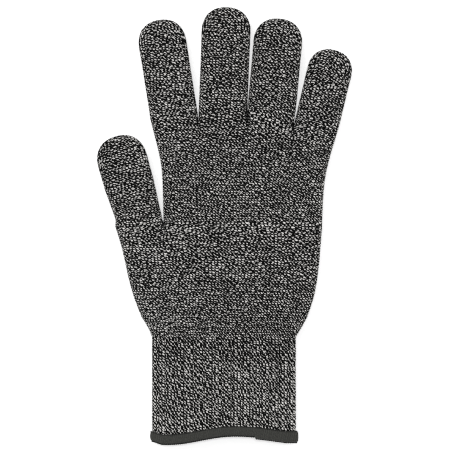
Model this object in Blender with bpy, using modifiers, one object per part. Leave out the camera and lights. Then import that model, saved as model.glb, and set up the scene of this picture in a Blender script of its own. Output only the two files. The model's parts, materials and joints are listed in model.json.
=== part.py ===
"""Seamless knitted cut-resistant glove, lying relaxed on a table with its palm side down.

+Y runs from the cuff to the fingertips, +Z from the palm side to the back of the hand.
The knitted shell is divided where a glove-knitting machine changes section (fingers,
four-finger palm, thumb, five-finger palm, cuff) and where the wearer's joints bend it.
Every section is a hollow tube: an upper and a lower sheet that meet along the two edges.
Plan positions are laid out from the middle of the wrist line, and the finished glove is
moved so that the origin is at the bottom centre of its bounding box.
"""

import math

import bmesh
import bpy
from mathutils import Matrix, Vector

MM = 0.001

# ---------------------------------------------------------------- driving dimensions
WALL = 1.2 * MM  # knitted fabric of the fingers and palm
CUFF_WALL = 1.4 * MM  # the cuff is thicker, with an elastic yarn laid in
GAP = 0.3 * MM  # between solids that touch on the real glove
BEND_GAP = 0.8 * MM  # between the two sections of a bend line

PALM_THICKNESS = 14.0 * MM
FINGER_THICKNESS = 11.0 * MM
THUMB_THICKNESS = 12.0 * MM
CUFF_THICKNESS = 12.0 * MM
CUFF_WIDTH = 82.4 * MM
CUFF_PULL = 60.0 * MM  # how far up the palm its edges follow the cuff's width
CUFF_LENGTH = 60.25 * MM  # from the wrist line to the end of the fabric
WRIST_BEND = math.radians(45)  # each way

# The cuff's end is not straight: it stands back most a little right of its middle.
HEM_ARCH = 4.9 * MM
HEM_PEAK = 0.15  # as a share of half the cuff's width
HEM_FALL = (0.95, 1.25)  # how far to the left and to the right the arch runs out

WIDEST_AT = 0.46  # share of a tube's thickness at which it is widest
FOOT_SINK = 0.14  # how far the lower sheet is pressed flat, as a share of its depth
SQUARENESS = 2.5  # of a tube's cross-section: 2 is an ellipse
TIP_SQUARENESS = 2.25  # of a fingertip's outline

# Each stall: its perpendicular width, its lean to the right, where its middle line passes
# (slack is its distance from the crotch beside it, over half the stall's width), the line
# across it where it starts to bend, and the length of each of its sections.
STALLS = {
    "index": {
        "width": 27.3 * MM,
        "lean": math.radians(-9.0),
        "slack": 0.25 * MM,
        "axis_y": 126.0 * MM,
        "bend_y": 127.5 * MM,
        "lengths": (18.4 * MM, 16.6 * MM, 19.6 * MM),
    },
    "middle": {
        "width": 27.9 * MM,
        "lean": math.radians(2.2),
        "slack": 0.05 * MM,
        "axis_y": 127.0 * MM,
        "bend_y": 132.5 * MM,
        "lengths": (19.0 * MM, 17.4 * MM, 19.9 * MM),
    },
    "ring": {
        "width": 27.8 * MM,
        "lean": math.radians(5.2),
        "slack": -0.8 * MM,
        "axis_y": 125.0 * MM,
        "bend_y": 132.5 * MM,
        "lengths": (16.4 * MM, 15.0 * MM, 18.5 * MM),
    },
    "little": {
        "width": 25.5 * MM,
        "lean": math.radians(13.5),
        "slack": 0.35 * MM,
        "axis_y": 121.3 * MM,
        "bend_y": 124.3 * MM,
        "lengths": (13.0 * MM, 11.6 * MM, 16.4 * MM),
    },
}
THUMB = {
    "width": 28.6 * MM,
    "lean": math.radians(-15.8),
    "axis_x": -50.6 * MM,
    "axis_y": 74.4 * MM,
    "bend_y": 68.2 * MM,
    "lengths": (22.6 * MM, 25.8 * MM),
}
THUMB_ROOT_NARROWER = 2.6 * MM  # at its root than along the rest of it
THUMB_ROOT_LENGTH = 20.0 * MM
THUMB_BEND_SKEW = 0.6  # the thumb's first bend line is turned this share towards the wrist line
SECTION_NAMES = ("base", "middle", "tip")

# Points of the plan outline, from the wrist line up.
PALM_RIGHT = [(0, 41.2), (5, 44.4), (12, 48.0), (28, 52.7), (57, 55.8), (91, 58.0), (121.5, 66.2)]
PALM_LEFT = [(65.8, -34.6), (89, -35.2), (101, -36.4), (125, -42.3)]
THUMB_SIDE = [(0, -41.2), (5, -43.3), (12, -47.5), (28, -53.2), (50, -58.3), (65.8, -63.0)]
# The crotches lie side by side, with the stall between two of them and a little more or less.
FIRST_CROTCH_X = -14.6 * MM
SECOND_CROTCH_X = FIRST_CROTCH_X + STALLS["middle"]["width"] + 0.1 * MM
THIRD_CROTCH_X = SECOND_CROTCH_X + STALLS["ring"]["width"] - 1.2 * MM
CROTCHES = ((FIRST_CROTCH_X, 124.7 * MM), (SECOND_CROTCH_X, 129.8 * MM), (THIRD_CROTCH_X, 121.3 * MM))
LEFT_TOP_X = FIRST_CROTCH_X - STALLS["index"]["width"] - 0.4 * MM  # of the palm's edge beside the index stall
RIGHT_TOP_X = THIRD_CROTCH_X + STALLS["little"]["width"] + 0.7 * MM  # and beside the little stall
THUMB_CROTCH = (-35.5 * MM, 65.8 * MM)
for finger, crotch_x, away in (
    ("index", FIRST_CROTCH_X, -1),
    ("middle", FIRST_CROTCH_X, 1),
    ("ring", THIRD_CROTCH_X, -1),
    ("little", THIRD_CROTCH_X, 1),
):
    place = STALLS[finger]
    place["axis_x"] = crotch_x + away * (place["width"] / 2 + place["slack"])
THUMB_SIDE_DROP = 2.5 * MM  # the outer end of the thumb's root is lower than its crotch
LOBES_FADE = 12.0 * MM  # how far below a crotch the valleys between stalls run out
WRIST_LIFT_ENDS = 16.0 * MM  # where the palm reaches the table
PALM_SWELL_ENDS = 22.0 * MM  # where the palm has its whole thickness
PALM_FALL_FROM = 100.0 * MM  # where it starts to thin towards the fingers
PALM_FALL_LENGTH = 32.0 * MM

# Overlocked hem and the threads in it.
LOOPER_THICKNESS = 0.7 * MM
HEM_DEPTH = 4.2 * MM  # how far the stitch reaches onto the cuff
NEEDLE_THREAD = 0.5 * MM
LAP_FROM_X = 20.0 * MM  # where the end of the stitching laps over its start
LAP_DROP = 1.4 * MM
ELASTIC = 0.6 * MM
ELASTIC_TURNS = 9
ELASTIC_INSET = 6.0 * MM  # from each end of the cuff
YARN = 0.8 * MM
TAIL_LENGTH = 9.0 * MM
TAIL_SWAY = 2.0 * MM

# Faceting.
STALL_SPANS = 8  # across one sheet of a stall
PALM_SPANS = 16
DOME_ROWS = 4

PARTS, CUTTERS = "knitted_glove", "cutters"
bodies = {}


# ---------------------------------------------------------------- scene and materials
def clear_scene():
    for obj in list(bpy.data.objects):
        bpy.data.objects.remove(obj, do_unlink=True)
    for name in (PARTS, CUTTERS):
        collection = bpy.data.collections.new(name)
        bpy.context.scene.collection.children.link(collection)


def material(name, colour, roughness):
    made = bpy.data.materials.new(name)
    made.use_nodes = True
    shader = made.node_tree.nodes["Principled BSDF"]
    shader.inputs["Base Color"].default_value = (*colour, 1.0)
    shader.inputs["Roughness"].default_value = roughness
    shader.inputs["Metallic"].default_value = 0.0
    return made


def make_materials():
    return {
        "marl_knit": material("marl_knit", (0.125, 0.122, 0.118), 0.9),
        "rib_knit": material("rib_knit", (0.135, 0.132, 0.127), 0.9),
        "overlock_thread": material("overlock_thread", (0.045, 0.045, 0.042), 0.75),
        "elastic": material("elastic", (0.32, 0.31, 0.29), 0.6),
    }


def add_body(name, parent, pivot):
    """An empty on a joint's axis. Every piece that moves with the joint is its child."""
    empty = bpy.data.objects.new("body_" + name, None)
    bpy.data.collections[PARTS].objects.link(empty)
    bodies[name] = (empty, Vector(pivot))
    if parent is not None:
        above, above_pivot = bodies[parent]
        empty.parent = above
        empty.location = Vector(pivot) - above_pivot
    return empty


def add_part(name, mesh, body, skin, cutter=False):
    """Puts a mesh laid out in the glove's plan into the scene, with its origin on its body's axis."""
    empty, pivot = bodies[body]
    mesh.transform(Matrix.Translation(-pivot))
    obj = bpy.data.objects.new(name, mesh)
    bpy.data.collections[CUTTERS if cutter else PARTS].objects.link(obj)
    obj.parent = empty
    if cutter:
        obj.hide_render = True
        obj.display_type = "WIRE"
    else:
        mesh.materials.append(skin)
    return obj


# ---------------------------------------------------------------- shape rules
def through(points, y):
    """The outline's x at y: a smooth curve through a few points (Catmull-Rom), in metres."""
    y = y / MM
    last = len(points) - 1
    i = max(0, min(last - 1, sum(p[0] <= y for p in points) - 1))
    (y0, x0), (y1, x1) = points[i], points[i + 1]
    before, after = points[max(i - 1, 0)], points[min(i + 2, last)]
    slope0 = (x1 - before[1]) / (y1 - before[0])
    slope1 = (after[1] - x0) / (after[0] - y0)
    step = y1 - y0
    t = (y - y0) / step
    if not 0 <= t <= 1:
        return (x0 + slope0 * (y - y0) if t < 0 else x1 + slope1 * (y - y1)) * MM
    t2, t3 = t * t, t * t * t
    return MM * (
        (2 * t3 - 3 * t2 + 1) * x0
        + (t3 - 2 * t2 + t) * step * slope0
        + (3 * t2 - 2 * t3) * x1
        + (t3 - t2) * step * slope1
    )


def palm_edge(points, y):
    """The palm's edge at y. It is the cuff's own edge at the wrist and ends beside the outermost stall."""
    side = math.copysign(1.0, points[0][1])
    at_wrist = side * CUFF_WIDTH / 2 - points[0][1] * MM
    x = through(points, y) + at_wrist * max(0.0, 1 - y / CUFF_PULL) ** 2
    low, high = THUMB_CROTCH[1], points[-1][0] * MM
    if y > low + GAP and high > low:
        rise = min(1.0, (y - low) / (high - low))
        at_top = (RIGHT_TOP_X if side > 0 else LEFT_TOP_X) - points[-1][1] * MM
        x += at_top * rise * rise * (3 - 2 * rise)
    return x


def crown(across, squareness=SQUARENESS):
    """How full a section is: 1 in its middle, 0 at its two edges (across is -1 to 1)."""
    return max(0.0, 1.0 - abs(across) ** squareness) ** (1.0 / squareness)


def columns(spans):
    """Places across a tube from edge to edge, closer together where it turns over."""
    return [-math.cos(math.pi * k / spans) for k in range(spans + 1)]


def heights(full, bottom, thickness):
    """The upper and lower sheet's z where the section is this full."""
    middle = bottom + WIDEST_AT * thickness
    upper = middle + (1 - WIDEST_AT) * thickness * full
    lower = middle - (1 + FOOT_SINK) * WIDEST_AT * thickness * full
    return upper, max(bottom, lower)


def lean_axes(stall):
    """Unit vectors along a stall and across it, in plan."""
    lean = stall["lean"]
    return Vector((math.sin(lean), math.cos(lean))), Vector((math.cos(lean), -math.sin(lean)))


def axis_point(stall, y):
    """The point of a stall's middle line at this y."""
    return Vector((stall["axis_x"] + (y - stall["axis_y"]) * math.tan(stall["lean"]), y))


def stall_row(stall, thickness, along, skew, spans=STALL_SPANS):
    """One cross-section of a stall as rows of (upper, lower) points.

    along is the distance from the bend line on the middle line. skew turns the section
    from square to the stall (0) to square to the glove (1).
    """
    forward, sideways = lean_axes(stall)
    start = axis_point(stall, stall["bend_y"])
    radius = stall["width"] / 2
    dome_from = sum(stall["lengths"]) - radius
    if stall is THUMB:
        radius -= THUMB_ROOT_NARROWER / 2 * max(0.0, 1.0 - along / THUMB_ROOT_LENGTH)
    beyond = max(0.0, min(1.0, (along - dome_from) / radius))
    narrow = max(0.0, 1.0 - beyond**TIP_SQUARENESS) ** (1.0 / TIP_SQUARENESS)
    row = []
    for place in columns(spans):
        across = place * radius * narrow
        lag = skew * across * math.tan(stall["lean"])
        spot = start + forward * (along + lag) + sideways * across
        upper, lower = heights(crown(place) * narrow, 0.0, thickness)
        row.append((Vector((*spot, upper)), Vector((*spot, lower))))
    return row


def sheets_from_rows(bm, rows):
    """Adds an upper and a lower sheet through rows of (upper, lower) points."""
    for side in (0, 1):
        grid = [[bm.verts.new(point[side]) for point in row] for row in rows]
        for row, after in zip(grid, grid[1:]):
            for k in range(len(row) - 1):
                corners = (row[k], row[k + 1], after[k + 1], after[k])
                bm.faces.new(corners if side == 0 else reversed(corners))


def knitted_shell(name, patches, wall, body, skin):
    """A hollow tube of fabric: sheets joined along their edges, then thickened inwards."""
    bm = bmesh.new()
    for rows in patches:
        sheets_from_rows(bm, rows)
    bmesh.ops.remove_doubles(bm, verts=bm.verts, dist=0.01 * MM)
    bmesh.ops.recalc_face_normals(bm, faces=bm.faces)
    mesh = bpy.data.meshes.new(name)
    bm.to_mesh(mesh)
    bm.free()
    obj = add_part(name, mesh, body, skin)
    mesh.shade_smooth()
    solidify = obj.modifiers.new("fabric", "SOLIDIFY")
    solidify.thickness = wall
    solidify.offset = -1.0
    solidify.solidify_mode = "NON_MANIFOLD"
    solidify.nonmanifold_thickness_mode = "CONSTRAINTS"
    return obj


# ---------------------------------------------------------------- fingers and thumb
def bend_skew(stall, number):
    """How far each bend line of a stall is turned from square to the stall to square to the glove."""
    if stall is THUMB:
        return THUMB_BEND_SKEW if number == 0 else 0.0
    return 1.0


def section_rows(stall, thickness, number):
    """The rows of one section of a stall, from its lower bend line to its upper one or its tip."""
    lengths = stall["lengths"]
    start = sum(lengths[:number]) + BEND_GAP / 2
    rows = [stall_row(stall, thickness, start, bend_skew(stall, number))]
    if number < len(lengths) - 1:
        end = sum(lengths[: number + 1]) - BEND_GAP / 2
        rows.append(stall_row(stall, thickness, end, bend_skew(stall, number + 1)))
        return rows
    radius = stall["width"] / 2
    dome_from = sum(lengths) - radius
    for k in range(DOME_ROWS + 1):
        rise = math.sin(math.pi / 2 * k / DOME_ROWS)
        rows.append(stall_row(stall, thickness, dome_from + radius * rise, 0.0))
    return rows


def yarn_tail(name, stall, body, skin):
    """The end of the stall's first yarn, tucked inside the closed tip."""
    forward, sideways = lean_axes(stall)
    pole = axis_point(stall, stall["bend_y"]) + forward * sum(stall["lengths"])
    height = WALL + GAP + YARN / 2
    steps = 6
    route = []
    for k in range(steps + 1):
        t = k / steps
        back = stall["width"] / 4 + TAIL_LENGTH * t
        sway = TAIL_SWAY * math.sin(2 * math.pi * t)
        route.append(Vector((*(pole - forward * back + sideways * sway), height)))
    thread(name, route, YARN, body, skin, closed=False, resolution=1)


def make_stall(finger, stall, thickness, skins):
    names = SECTION_NAMES if len(stall["lengths"]) == len(SECTION_NAMES) else ("base", "tip")
    forward, _ = lean_axes(stall)
    start = axis_point(stall, stall["bend_y"])
    parent = "hand"
    for number, part in enumerate(names):
        body = f"{finger}_{part}"
        pivot = start + forward * sum(stall["lengths"][:number])
        add_body(body, parent, (*pivot, 0.0))
        rows = section_rows(stall, thickness, number)
        knitted_shell(f"{finger}_{part}", [rows], WALL, body, skins["marl_knit"])
        parent = body
    yarn_tail(f"{finger}_yarn_tail", stall, parent, skins["marl_knit"])


# ---------------------------------------------------------------- palm
def palm_bottom(y):
    """The palm lies flat on the table and lifts towards the wrist, where the hem carries it."""
    lift = LOOPER_THICKNESS + GAP
    return lift * max(0.0, 1.0 - y / WRIST_LIFT_ENDS) ** 2


def palm_thickness(y):
    """From the cuff's thickness at the wrist, over the palm's, to the fingers' at their roots."""
    rise = min(1.0, max(0.0, y / PALM_SWELL_ENDS))
    fall = min(1.0, max(0.0, (y - PALM_FALL_FROM) / PALM_FALL_LENGTH))
    swell = CUFF_THICKNESS + (PALM_THICKNESS - CUFF_THICKNESS) * rise * rise * (3 - 2 * rise)
    return swell + (FINGER_THICKNESS - PALM_THICKNESS) * fall * fall * (3 - 2 * fall)


def between(a, b, t):
    return a + (b - a) * t


def lobed_row(knots, shares, spans, lobes, whole=(0.0, 1.0), thickness=None):
    """A row across several tubes that merge.

    knots are the plan points where the tubes meet, shares their place in the whole width,
    and lobes says how far the row has parted into tubes (1) or is still one (0).
    """
    row = []
    low, high = whole
    for tube in range(len(knots) - 1):
        for k, place in enumerate(columns(spans[tube])):
            if tube and not k:
                continue
            t = (place + 1) / 2
            spot = between(Vector(knots[tube]), Vector(knots[tube + 1]), t)
            share = between(shares[tube], shares[tube + 1], t)
            one = crown(2 * (share - low) / (high - low) - 1)
            full = between(one, crown(place), lobes)
            tall = thickness or palm_thickness(spot.y)
            upper, lower = heights(full, palm_bottom(spot.y), tall)
            row.append((Vector((*spot, upper)), Vector((*spot, lower))))
    return row


def straight_row(y, left, right, shares, spans, lobes):
    """A row at one y between the two edges, divided in the same shares."""
    knots = [(between(left, right, share), y) for share in shares]
    return lobed_row(knots, shares, spans, lobes)


def palm_knots():
    """The plan points along the roots of the four fingers, and their shares of the width."""
    left_y, right_y = PALM_LEFT[-1][0] * MM, PALM_RIGHT[-1][0] * MM
    left = (palm_edge(PALM_LEFT, left_y), left_y)
    right = (palm_edge(PALM_RIGHT, right_y), right_y)
    knots = [left, *CROTCHES, right]
    width = right[0] - left[0]
    return knots, [(x - left[0]) / width for x, _ in knots]


def make_upper_palm(skins):
    """The four-finger palm, from the thumb's crotch to the roots of the fingers."""
    knots, shares = palm_knots()
    spans = [STALL_SPANS] * len(STALLS)
    start = THUMB_CROTCH[1] + GAP
    roots = min(y for _, y in knots)
    plain = roots - LOBES_FADE
    patch = []
    halfway = between(start, plain, 0.5)
    parting = between(plain, roots, 0.6)
    for y, lobes in ((start, 0.0), (halfway, 0.0), (plain, 0.0), (parting, 0.3)):
        left, right = palm_edge(PALM_LEFT, y), palm_edge(PALM_RIGHT, y)
        patch.append(straight_row(y, left, right, shares, spans, lobes))
    patch.append(lobed_row(knots, shares, spans, 1.0, thickness=FINGER_THICKNESS))
    patches = [patch]
    for number, stall in enumerate(STALLS.values()):
        first = number * STALL_SPANS
        root = patch[-1][first : first + STALL_SPANS + 1]
        edge = stall_row(stall, FINGER_THICKNESS, -BEND_GAP / 2, 1.0)
        patches.append([root, edge])
    knitted_shell("upper_palm", patches, WALL, "hand", skins["marl_knit"])


def make_lower_palm(skins):
    """The five-finger palm, from the wrist to the thumb's crotch, with the thumb's root."""
    crotch_x, crotch_y = THUMB_CROTCH
    left = through(THUMB_SIDE, crotch_y)
    right = through(PALM_RIGHT, crotch_y)
    shares = [0.0, (crotch_x - left) / (right - left), 1.0]
    spans = [STALL_SPANS, PALM_SPANS]
    patch = []
    wrist = BEND_GAP / 2
    stations = (wrist, 5 * MM, 11 * MM, 19 * MM, 34 * MM, crotch_y - LOBES_FADE)
    for y in stations:
        patch.append(
            straight_row(y, palm_edge(THUMB_SIDE, y), palm_edge(PALM_RIGHT, y), shares, spans, 0.0)
        )
    near = crotch_y - 0.4 * LOBES_FADE
    patch.append(
        straight_row(near, palm_edge(THUMB_SIDE, near), palm_edge(PALM_RIGHT, near), shares, spans, 0.15)
    )
    side_y = crotch_y - THUMB_SIDE_DROP
    knots = [(through(THUMB_SIDE, side_y), side_y), THUMB_CROTCH, (right, crotch_y)]
    patch.append(lobed_row(knots, shares, spans, 1.0))
    root = patch[-1][: STALL_SPANS + 1]
    edge = stall_row(THUMB, THUMB_THICKNESS, -BEND_GAP / 2, THUMB_BEND_SKEW)
    obj = knitted_shell("lower_palm", [patch, [root, edge]], WALL, "hand", skins["marl_knit"])
    cut_wrist(obj, "lower_palm")


# ---------------------------------------------------------------- cuff and hem
def wrist_height():
    return LOOPER_THICKNESS + GAP + WIDEST_AT * CUFF_THICKNESS


def cut_wrist(obj, name):
    """Two wedges, above and below the wrist line, leave room for the cuff to bend both ways."""
    reach = PALM_THICKNESS
    half_mouth = reach * math.tan(WRIST_BEND / 2) + BEND_GAP / 2
    for word, side in (("above", 1), ("below", -1)):
        bm = bmesh.new()
        ends = []
        for x in (-CUFF_WIDTH, CUFF_WIDTH):
            corners = ((0.0, 0.0), (-half_mouth, side * reach), (half_mouth, side * reach))
            ends.append([bm.verts.new((x, y, wrist_height() + z)) for y, z in corners])
        near, far = ends
        bm.faces.new(near)
        bm.faces.new(reversed(far))
        for k in range(3):
            n = (k + 1) % 3
            bm.faces.new((near[n], near[k], far[k], far[n]))
        bmesh.ops.recalc_face_normals(bm, faces=bm.faces)
        mesh = bpy.data.meshes.new("wedge")
        bm.to_mesh(mesh)
        bm.free()
        wedge = add_part(f"{name}_wedge_{word}", mesh, "hand", None, cutter=True)
        cut = obj.modifiers.new("room to bend " + word, "BOOLEAN")
        cut.operation = "DIFFERENCE"
        cut.object = wedge


def cuff_outline(spans=PALM_SPANS):
    """The cuff's cross-section as a ring of (x, z) corners, from its left edge over the top."""
    upper, lower = [], []
    for place in columns(spans):
        above, below = heights(crown(place), LOOPER_THICKNESS + GAP, CUFF_THICKNESS)
        upper.append(Vector((place * CUFF_WIDTH / 2, above)))
        lower.append(Vector((place * CUFF_WIDTH / 2, below)))
    return upper + lower[-2:0:-1]


def hem_arch(place):
    """How far the cuff's end stands back, at a place from its left edge (-1) to its right (1)."""
    off = place - HEM_PEAK
    share = min(1.0, abs(off) / HEM_FALL[off > 0])
    return HEM_ARCH * (1.0 + math.cos(math.pi * share)) / 2


def cuff_ring(outward, y, arch):
    """The cuff's outline as a closed ring, moved outward so that every facet stays parallel.

    arch, 0 to 1, bends the ring like the cuff's end, whose middle stands back.
    """
    outline = cuff_outline()
    ring = []
    for k, corner in enumerate(outline):
        before = (corner - outline[k - 1]).normalized()
        after = (outline[(k + 1) % len(outline)] - corner).normalized()
        out_before, out_after = Vector((-before.y, before.x)), Vector((-after.y, after.x))
        mitre = (out_before + out_after).normalized()
        x, z = corner + mitre * (outward / mitre.dot(out_before))
        place = corner.x / (CUFF_WIDTH / 2)
        ring.append(Vector((x, y + arch * hem_arch(place), z)))
    return ring


def ring_solid(name, rings, body, skin):
    """A solid swept round the cuff: rings joined in order, and the last to the first."""
    bm = bmesh.new()
    loops = [[bm.verts.new(point) for point in ring] for ring in rings]
    for loop, after in zip(loops, loops[1:] + loops[:1]):
        for k in range(len(loop)):
            n = (k + 1) % len(loop)
            bm.faces.new((loop[k], loop[n], after[n], after[k]))
    bmesh.ops.recalc_face_normals(bm, faces=bm.faces)
    mesh = bpy.data.meshes.new(name)
    bm.to_mesh(mesh)
    bm.free()
    add_part(name, mesh, body, skin)
    mesh.shade_smooth()
    mesh.set_sharp_from_angle(angle=math.radians(40))


def thread(name, route, thickness, body, skin, closed, resolution):
    """A round thread along a route, as a mesh of one closed body."""
    _, pivot = bodies[body]
    curve = bpy.data.curves.new(name, "CURVE")
    curve.dimensions = "3D"
    curve.bevel_depth = thickness / 2
    curve.bevel_resolution = resolution
    curve.use_fill_caps = not closed
    spline = curve.splines.new("POLY")
    spline.points.add(len(route) - 1)
    for point, spot in zip(spline.points, route):
        point.co = (*(spot - pivot), 1.0)
    spline.use_cyclic_u = closed
    obj = bpy.data.objects.new(name, curve)
    bpy.data.collections[PARTS].objects.link(obj)
    obj.parent = bodies[body][0]
    curve.materials.append(skin)


def hem_profile(near, far, foot_from):
    """(outward, from the end of the fabric) corners of one looper: a leg and a foot under the edge."""
    under = -GAP - LOOPER_THICKNESS
    leg = [(near, HEM_DEPTH), (far, HEM_DEPTH)]
    foot = [(far, under), (foot_from, under), (foot_from, -GAP), (near, -GAP)]
    return leg + foot


def make_hem(skins):
    """The three-thread overlock stitch that binds the cuff's end, and the lap where it closes."""
    end = -CUFF_LENGTH
    thread_skin = skins["overlock_thread"]
    outside = hem_profile(GAP, GAP + LOOPER_THICKNESS, -CUFF_WALL / 2 + GAP / 2)
    deep = -CUFF_WALL - GAP
    inside = hem_profile(deep, deep - LOOPER_THICKNESS, -CUFF_WALL / 2 - GAP / 2)
    for name, profile in (("hem_outer_looper", outside), ("hem_inner_looper", inside)):
        rings = [cuff_ring(outward, end + up, 1.0) for outward, up in profile]
        ring_solid(name, rings, "cuff", thread_skin)
    needle_y = end + HEM_DEPTH + GAP + NEEDLE_THREAD / 2
    route = cuff_ring(GAP + NEEDLE_THREAD / 2, needle_y, 1.0)
    thread("hem_needle_thread", route, NEEDLE_THREAD, "cuff", thread_skin, True, 1)
    make_lap(end, thread_skin)


def make_lap(end, skin):
    """The stitching's end, laid over its start on the back of the hand and round the edge."""
    near = 2 * GAP + LOOPER_THICKNESS
    far = near + LOOPER_THICKNESS
    under = -GAP - LOOPER_THICKNESS - LAP_DROP
    corners = [(near, HEM_DEPTH), (far, HEM_DEPTH), (far, under), (near, under)]
    rings = [cuff_ring(outward, end + up, 1.0) for outward, up in corners]
    kept = [k for k, place in enumerate(columns(PALM_SPANS)) if place * CUFF_WIDTH / 2 >= LAP_FROM_X]
    bm = bmesh.new()
    strips = [[bm.verts.new(ring[k]) for k in kept] for ring in rings]
    for strip, after in zip(strips, strips[1:] + strips[:1]):
        for k in range(len(kept) - 1):
            bm.faces.new((strip[k], strip[k + 1], after[k + 1], after[k]))
    bm.faces.new([strip[0] for strip in strips])
    bm.faces.new([strip[-1] for strip in reversed(strips)])
    bmesh.ops.recalc_face_normals(bm, faces=bm.faces)
    mesh = bpy.data.meshes.new("hem_lap")
    bm.to_mesh(mesh)
    bm.free()
    add_part("hem_lap", mesh, "cuff", skin)


def make_elastic(skins):
    """One covered elastic yarn, wound round and round inside the cuff."""
    depth = CUFF_WALL + GAP + ELASTIC / 2
    top, end = -ELASTIC_INSET, -CUFF_LENGTH + HEM_DEPTH + ELASTIC_INSET
    ring = cuff_ring(-depth, 0.0, 0.0)
    total = ELASTIC_TURNS * len(ring)
    route = []
    for k in range(total + 1):
        spot = ring[k % len(ring)].copy()
        spot.y = between(top, end, k / total)
        route.append(spot)
    thread("cuff_elastic_yarn", route, ELASTIC, "cuff", skins["elastic"], False, 0)


def make_cuff(skins):
    """The ribbed wrist with its elastic yarn and overlocked hem."""
    add_body("cuff", "hand", (0.0, 0.0, wrist_height()))
    rows = []
    for y, arch in ((-BEND_GAP / 2, 0.0), (-CUFF_LENGTH / 2, 0.0), (-CUFF_LENGTH, 1.0)):
        ring = cuff_ring(0.0, y, arch)
        upper = ring[: PALM_SPANS + 1]
        lower = [ring[0], *reversed(ring[PALM_SPANS + 1 :]), ring[PALM_SPANS]]
        rows.append(list(zip(upper, lower)))
    obj = knitted_shell("cuff_tube", [rows[::-1]], CUFF_WALL, "cuff", skins["rib_knit"])
    cut_wrist(obj, "cuff")
    make_elastic(skins)
    make_hem(skins)


# ---------------------------------------------------------------- assembly
def centre_on_origin():
    """Moves the whole glove so that the origin is at the bottom centre of its box."""
    bpy.context.view_layer.update()
    graph = bpy.context.evaluated_depsgraph_get()
    spots = []
    for obj in bpy.data.collections[PARTS].objects:
        if obj.type != "EMPTY":
            shown = obj.evaluated_get(graph)
            spots += [shown.matrix_world @ v.co for v in shown.to_mesh().vertices]
            shown.to_mesh_clear()
    low = Vector([min(spot[k] for spot in spots) for k in range(3)])
    high = Vector([max(spot[k] for spot in spots) for k in range(3)])
    middle = (low + high) / 2
    bodies["hand"][0].location = (-middle.x, -middle.y, -low.z)


def main():
    clear_scene()
    skins = make_materials()
    add_body("hand", None, (0.0, 0.0, 0.0))
    make_lower_palm(skins)
    make_upper_palm(skins)
    for finger, stall in STALLS.items():
        make_stall(finger, stall, FINGER_THICKNESS, skins)
    make_stall("thumb", THUMB, THUMB_THICKNESS, skins)
    make_cuff(skins)
    centre_on_origin()


main()
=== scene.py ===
"""Seamless knitted cut-resistant glove: every stitch, the overlocked hem and the elastic yarn.

The knit is laid out on the same sections as the part's own shell: four fingers, thumb,
four-finger palm, five-finger palm and cuff. Each stitch is two closed beads of yarn on a
thin ground sheet, and a two-ply marl pattern runs along the yarn from stitch to stitch.
"""

import json
import math

import bpy
import numpy as np
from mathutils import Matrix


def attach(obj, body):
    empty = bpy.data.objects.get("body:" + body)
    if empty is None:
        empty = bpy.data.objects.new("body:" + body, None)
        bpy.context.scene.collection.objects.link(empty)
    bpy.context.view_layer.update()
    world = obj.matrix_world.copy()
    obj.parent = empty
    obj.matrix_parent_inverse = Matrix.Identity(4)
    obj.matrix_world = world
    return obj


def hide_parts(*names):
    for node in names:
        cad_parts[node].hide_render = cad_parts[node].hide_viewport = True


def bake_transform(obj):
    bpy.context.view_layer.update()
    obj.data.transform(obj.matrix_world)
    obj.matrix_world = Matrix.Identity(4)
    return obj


bl_info = {
    "name": "Knitted Glove",
    "version": (1, 0, 0),
    "blender": (4, 5, 0),
    "location": "3D View > Sidebar > Knitted Glove",
    "description": "Builds a seamless knitted glove stitch by stitch around its jointed frame",
    "category": "Add Mesh",
}

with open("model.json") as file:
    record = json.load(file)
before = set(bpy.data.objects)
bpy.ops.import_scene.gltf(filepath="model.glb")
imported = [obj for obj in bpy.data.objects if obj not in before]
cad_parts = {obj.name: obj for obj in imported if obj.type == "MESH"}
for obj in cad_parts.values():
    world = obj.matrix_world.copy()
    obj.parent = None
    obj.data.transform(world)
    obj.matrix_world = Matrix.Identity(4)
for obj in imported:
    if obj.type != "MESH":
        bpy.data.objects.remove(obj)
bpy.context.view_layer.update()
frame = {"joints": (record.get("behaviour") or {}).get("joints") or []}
MM = 0.001
JOINTS = {joint["name"]: joint for joint in frame["joints"]}
WRIST = np.array(JOINTS["wrist_bend"]["pos_m"])

# ------------------------------------------------------------------ the glove's own plan
# Plan positions are counted from the middle of the wrist line, as the shell has them. Curves are (y, x)
# points in millimetres; everything else is in metres.
SQUARENESS = 2.5
TIP_SQUARENESS = 2.25
WIDEST_AT = 0.46
FOOT_SINK = 0.14
PALM_THICKNESS, FINGER_THICKNESS, THUMB_THICKNESS, CUFF_THICKNESS = 14 * MM, 11 * MM, 12 * MM, 12 * MM
CUFF_LIFT = 1.0 * MM
CUFF_HALF_WIDTH = 41.2 * MM
WRIST_LIFT_ENDS, PALM_SWELL_ENDS = 16 * MM, 22 * MM
PALM_FALL_FROM, PALM_FALL_LENGTH = 100 * MM, 32 * MM
PALM_RIGHT = [(0, 41.2), (5, 44.4), (12, 48.0), (28, 52.7), (57, 55.8), (91, 58.0), (121.5, 66.2)]
PALM_LEFT = [(65.8, -34.6), (89, -35.2), (101, -36.4), (125, -42.3)]
THUMB_SIDE = [(0, -41.2), (5, -43.3), (12, -47.5), (28, -53.2), (50, -58.3), (65.8, -63.0)]
CROTCHES = ((-14.6 * MM, 124.7 * MM), (13.4 * MM, 129.8 * MM), (40.0 * MM, 121.3 * MM))
THUMB_CROTCH = (-35.5 * MM, 65.8 * MM)
THUMB_SIDE_DROP = 2.5 * MM
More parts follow.
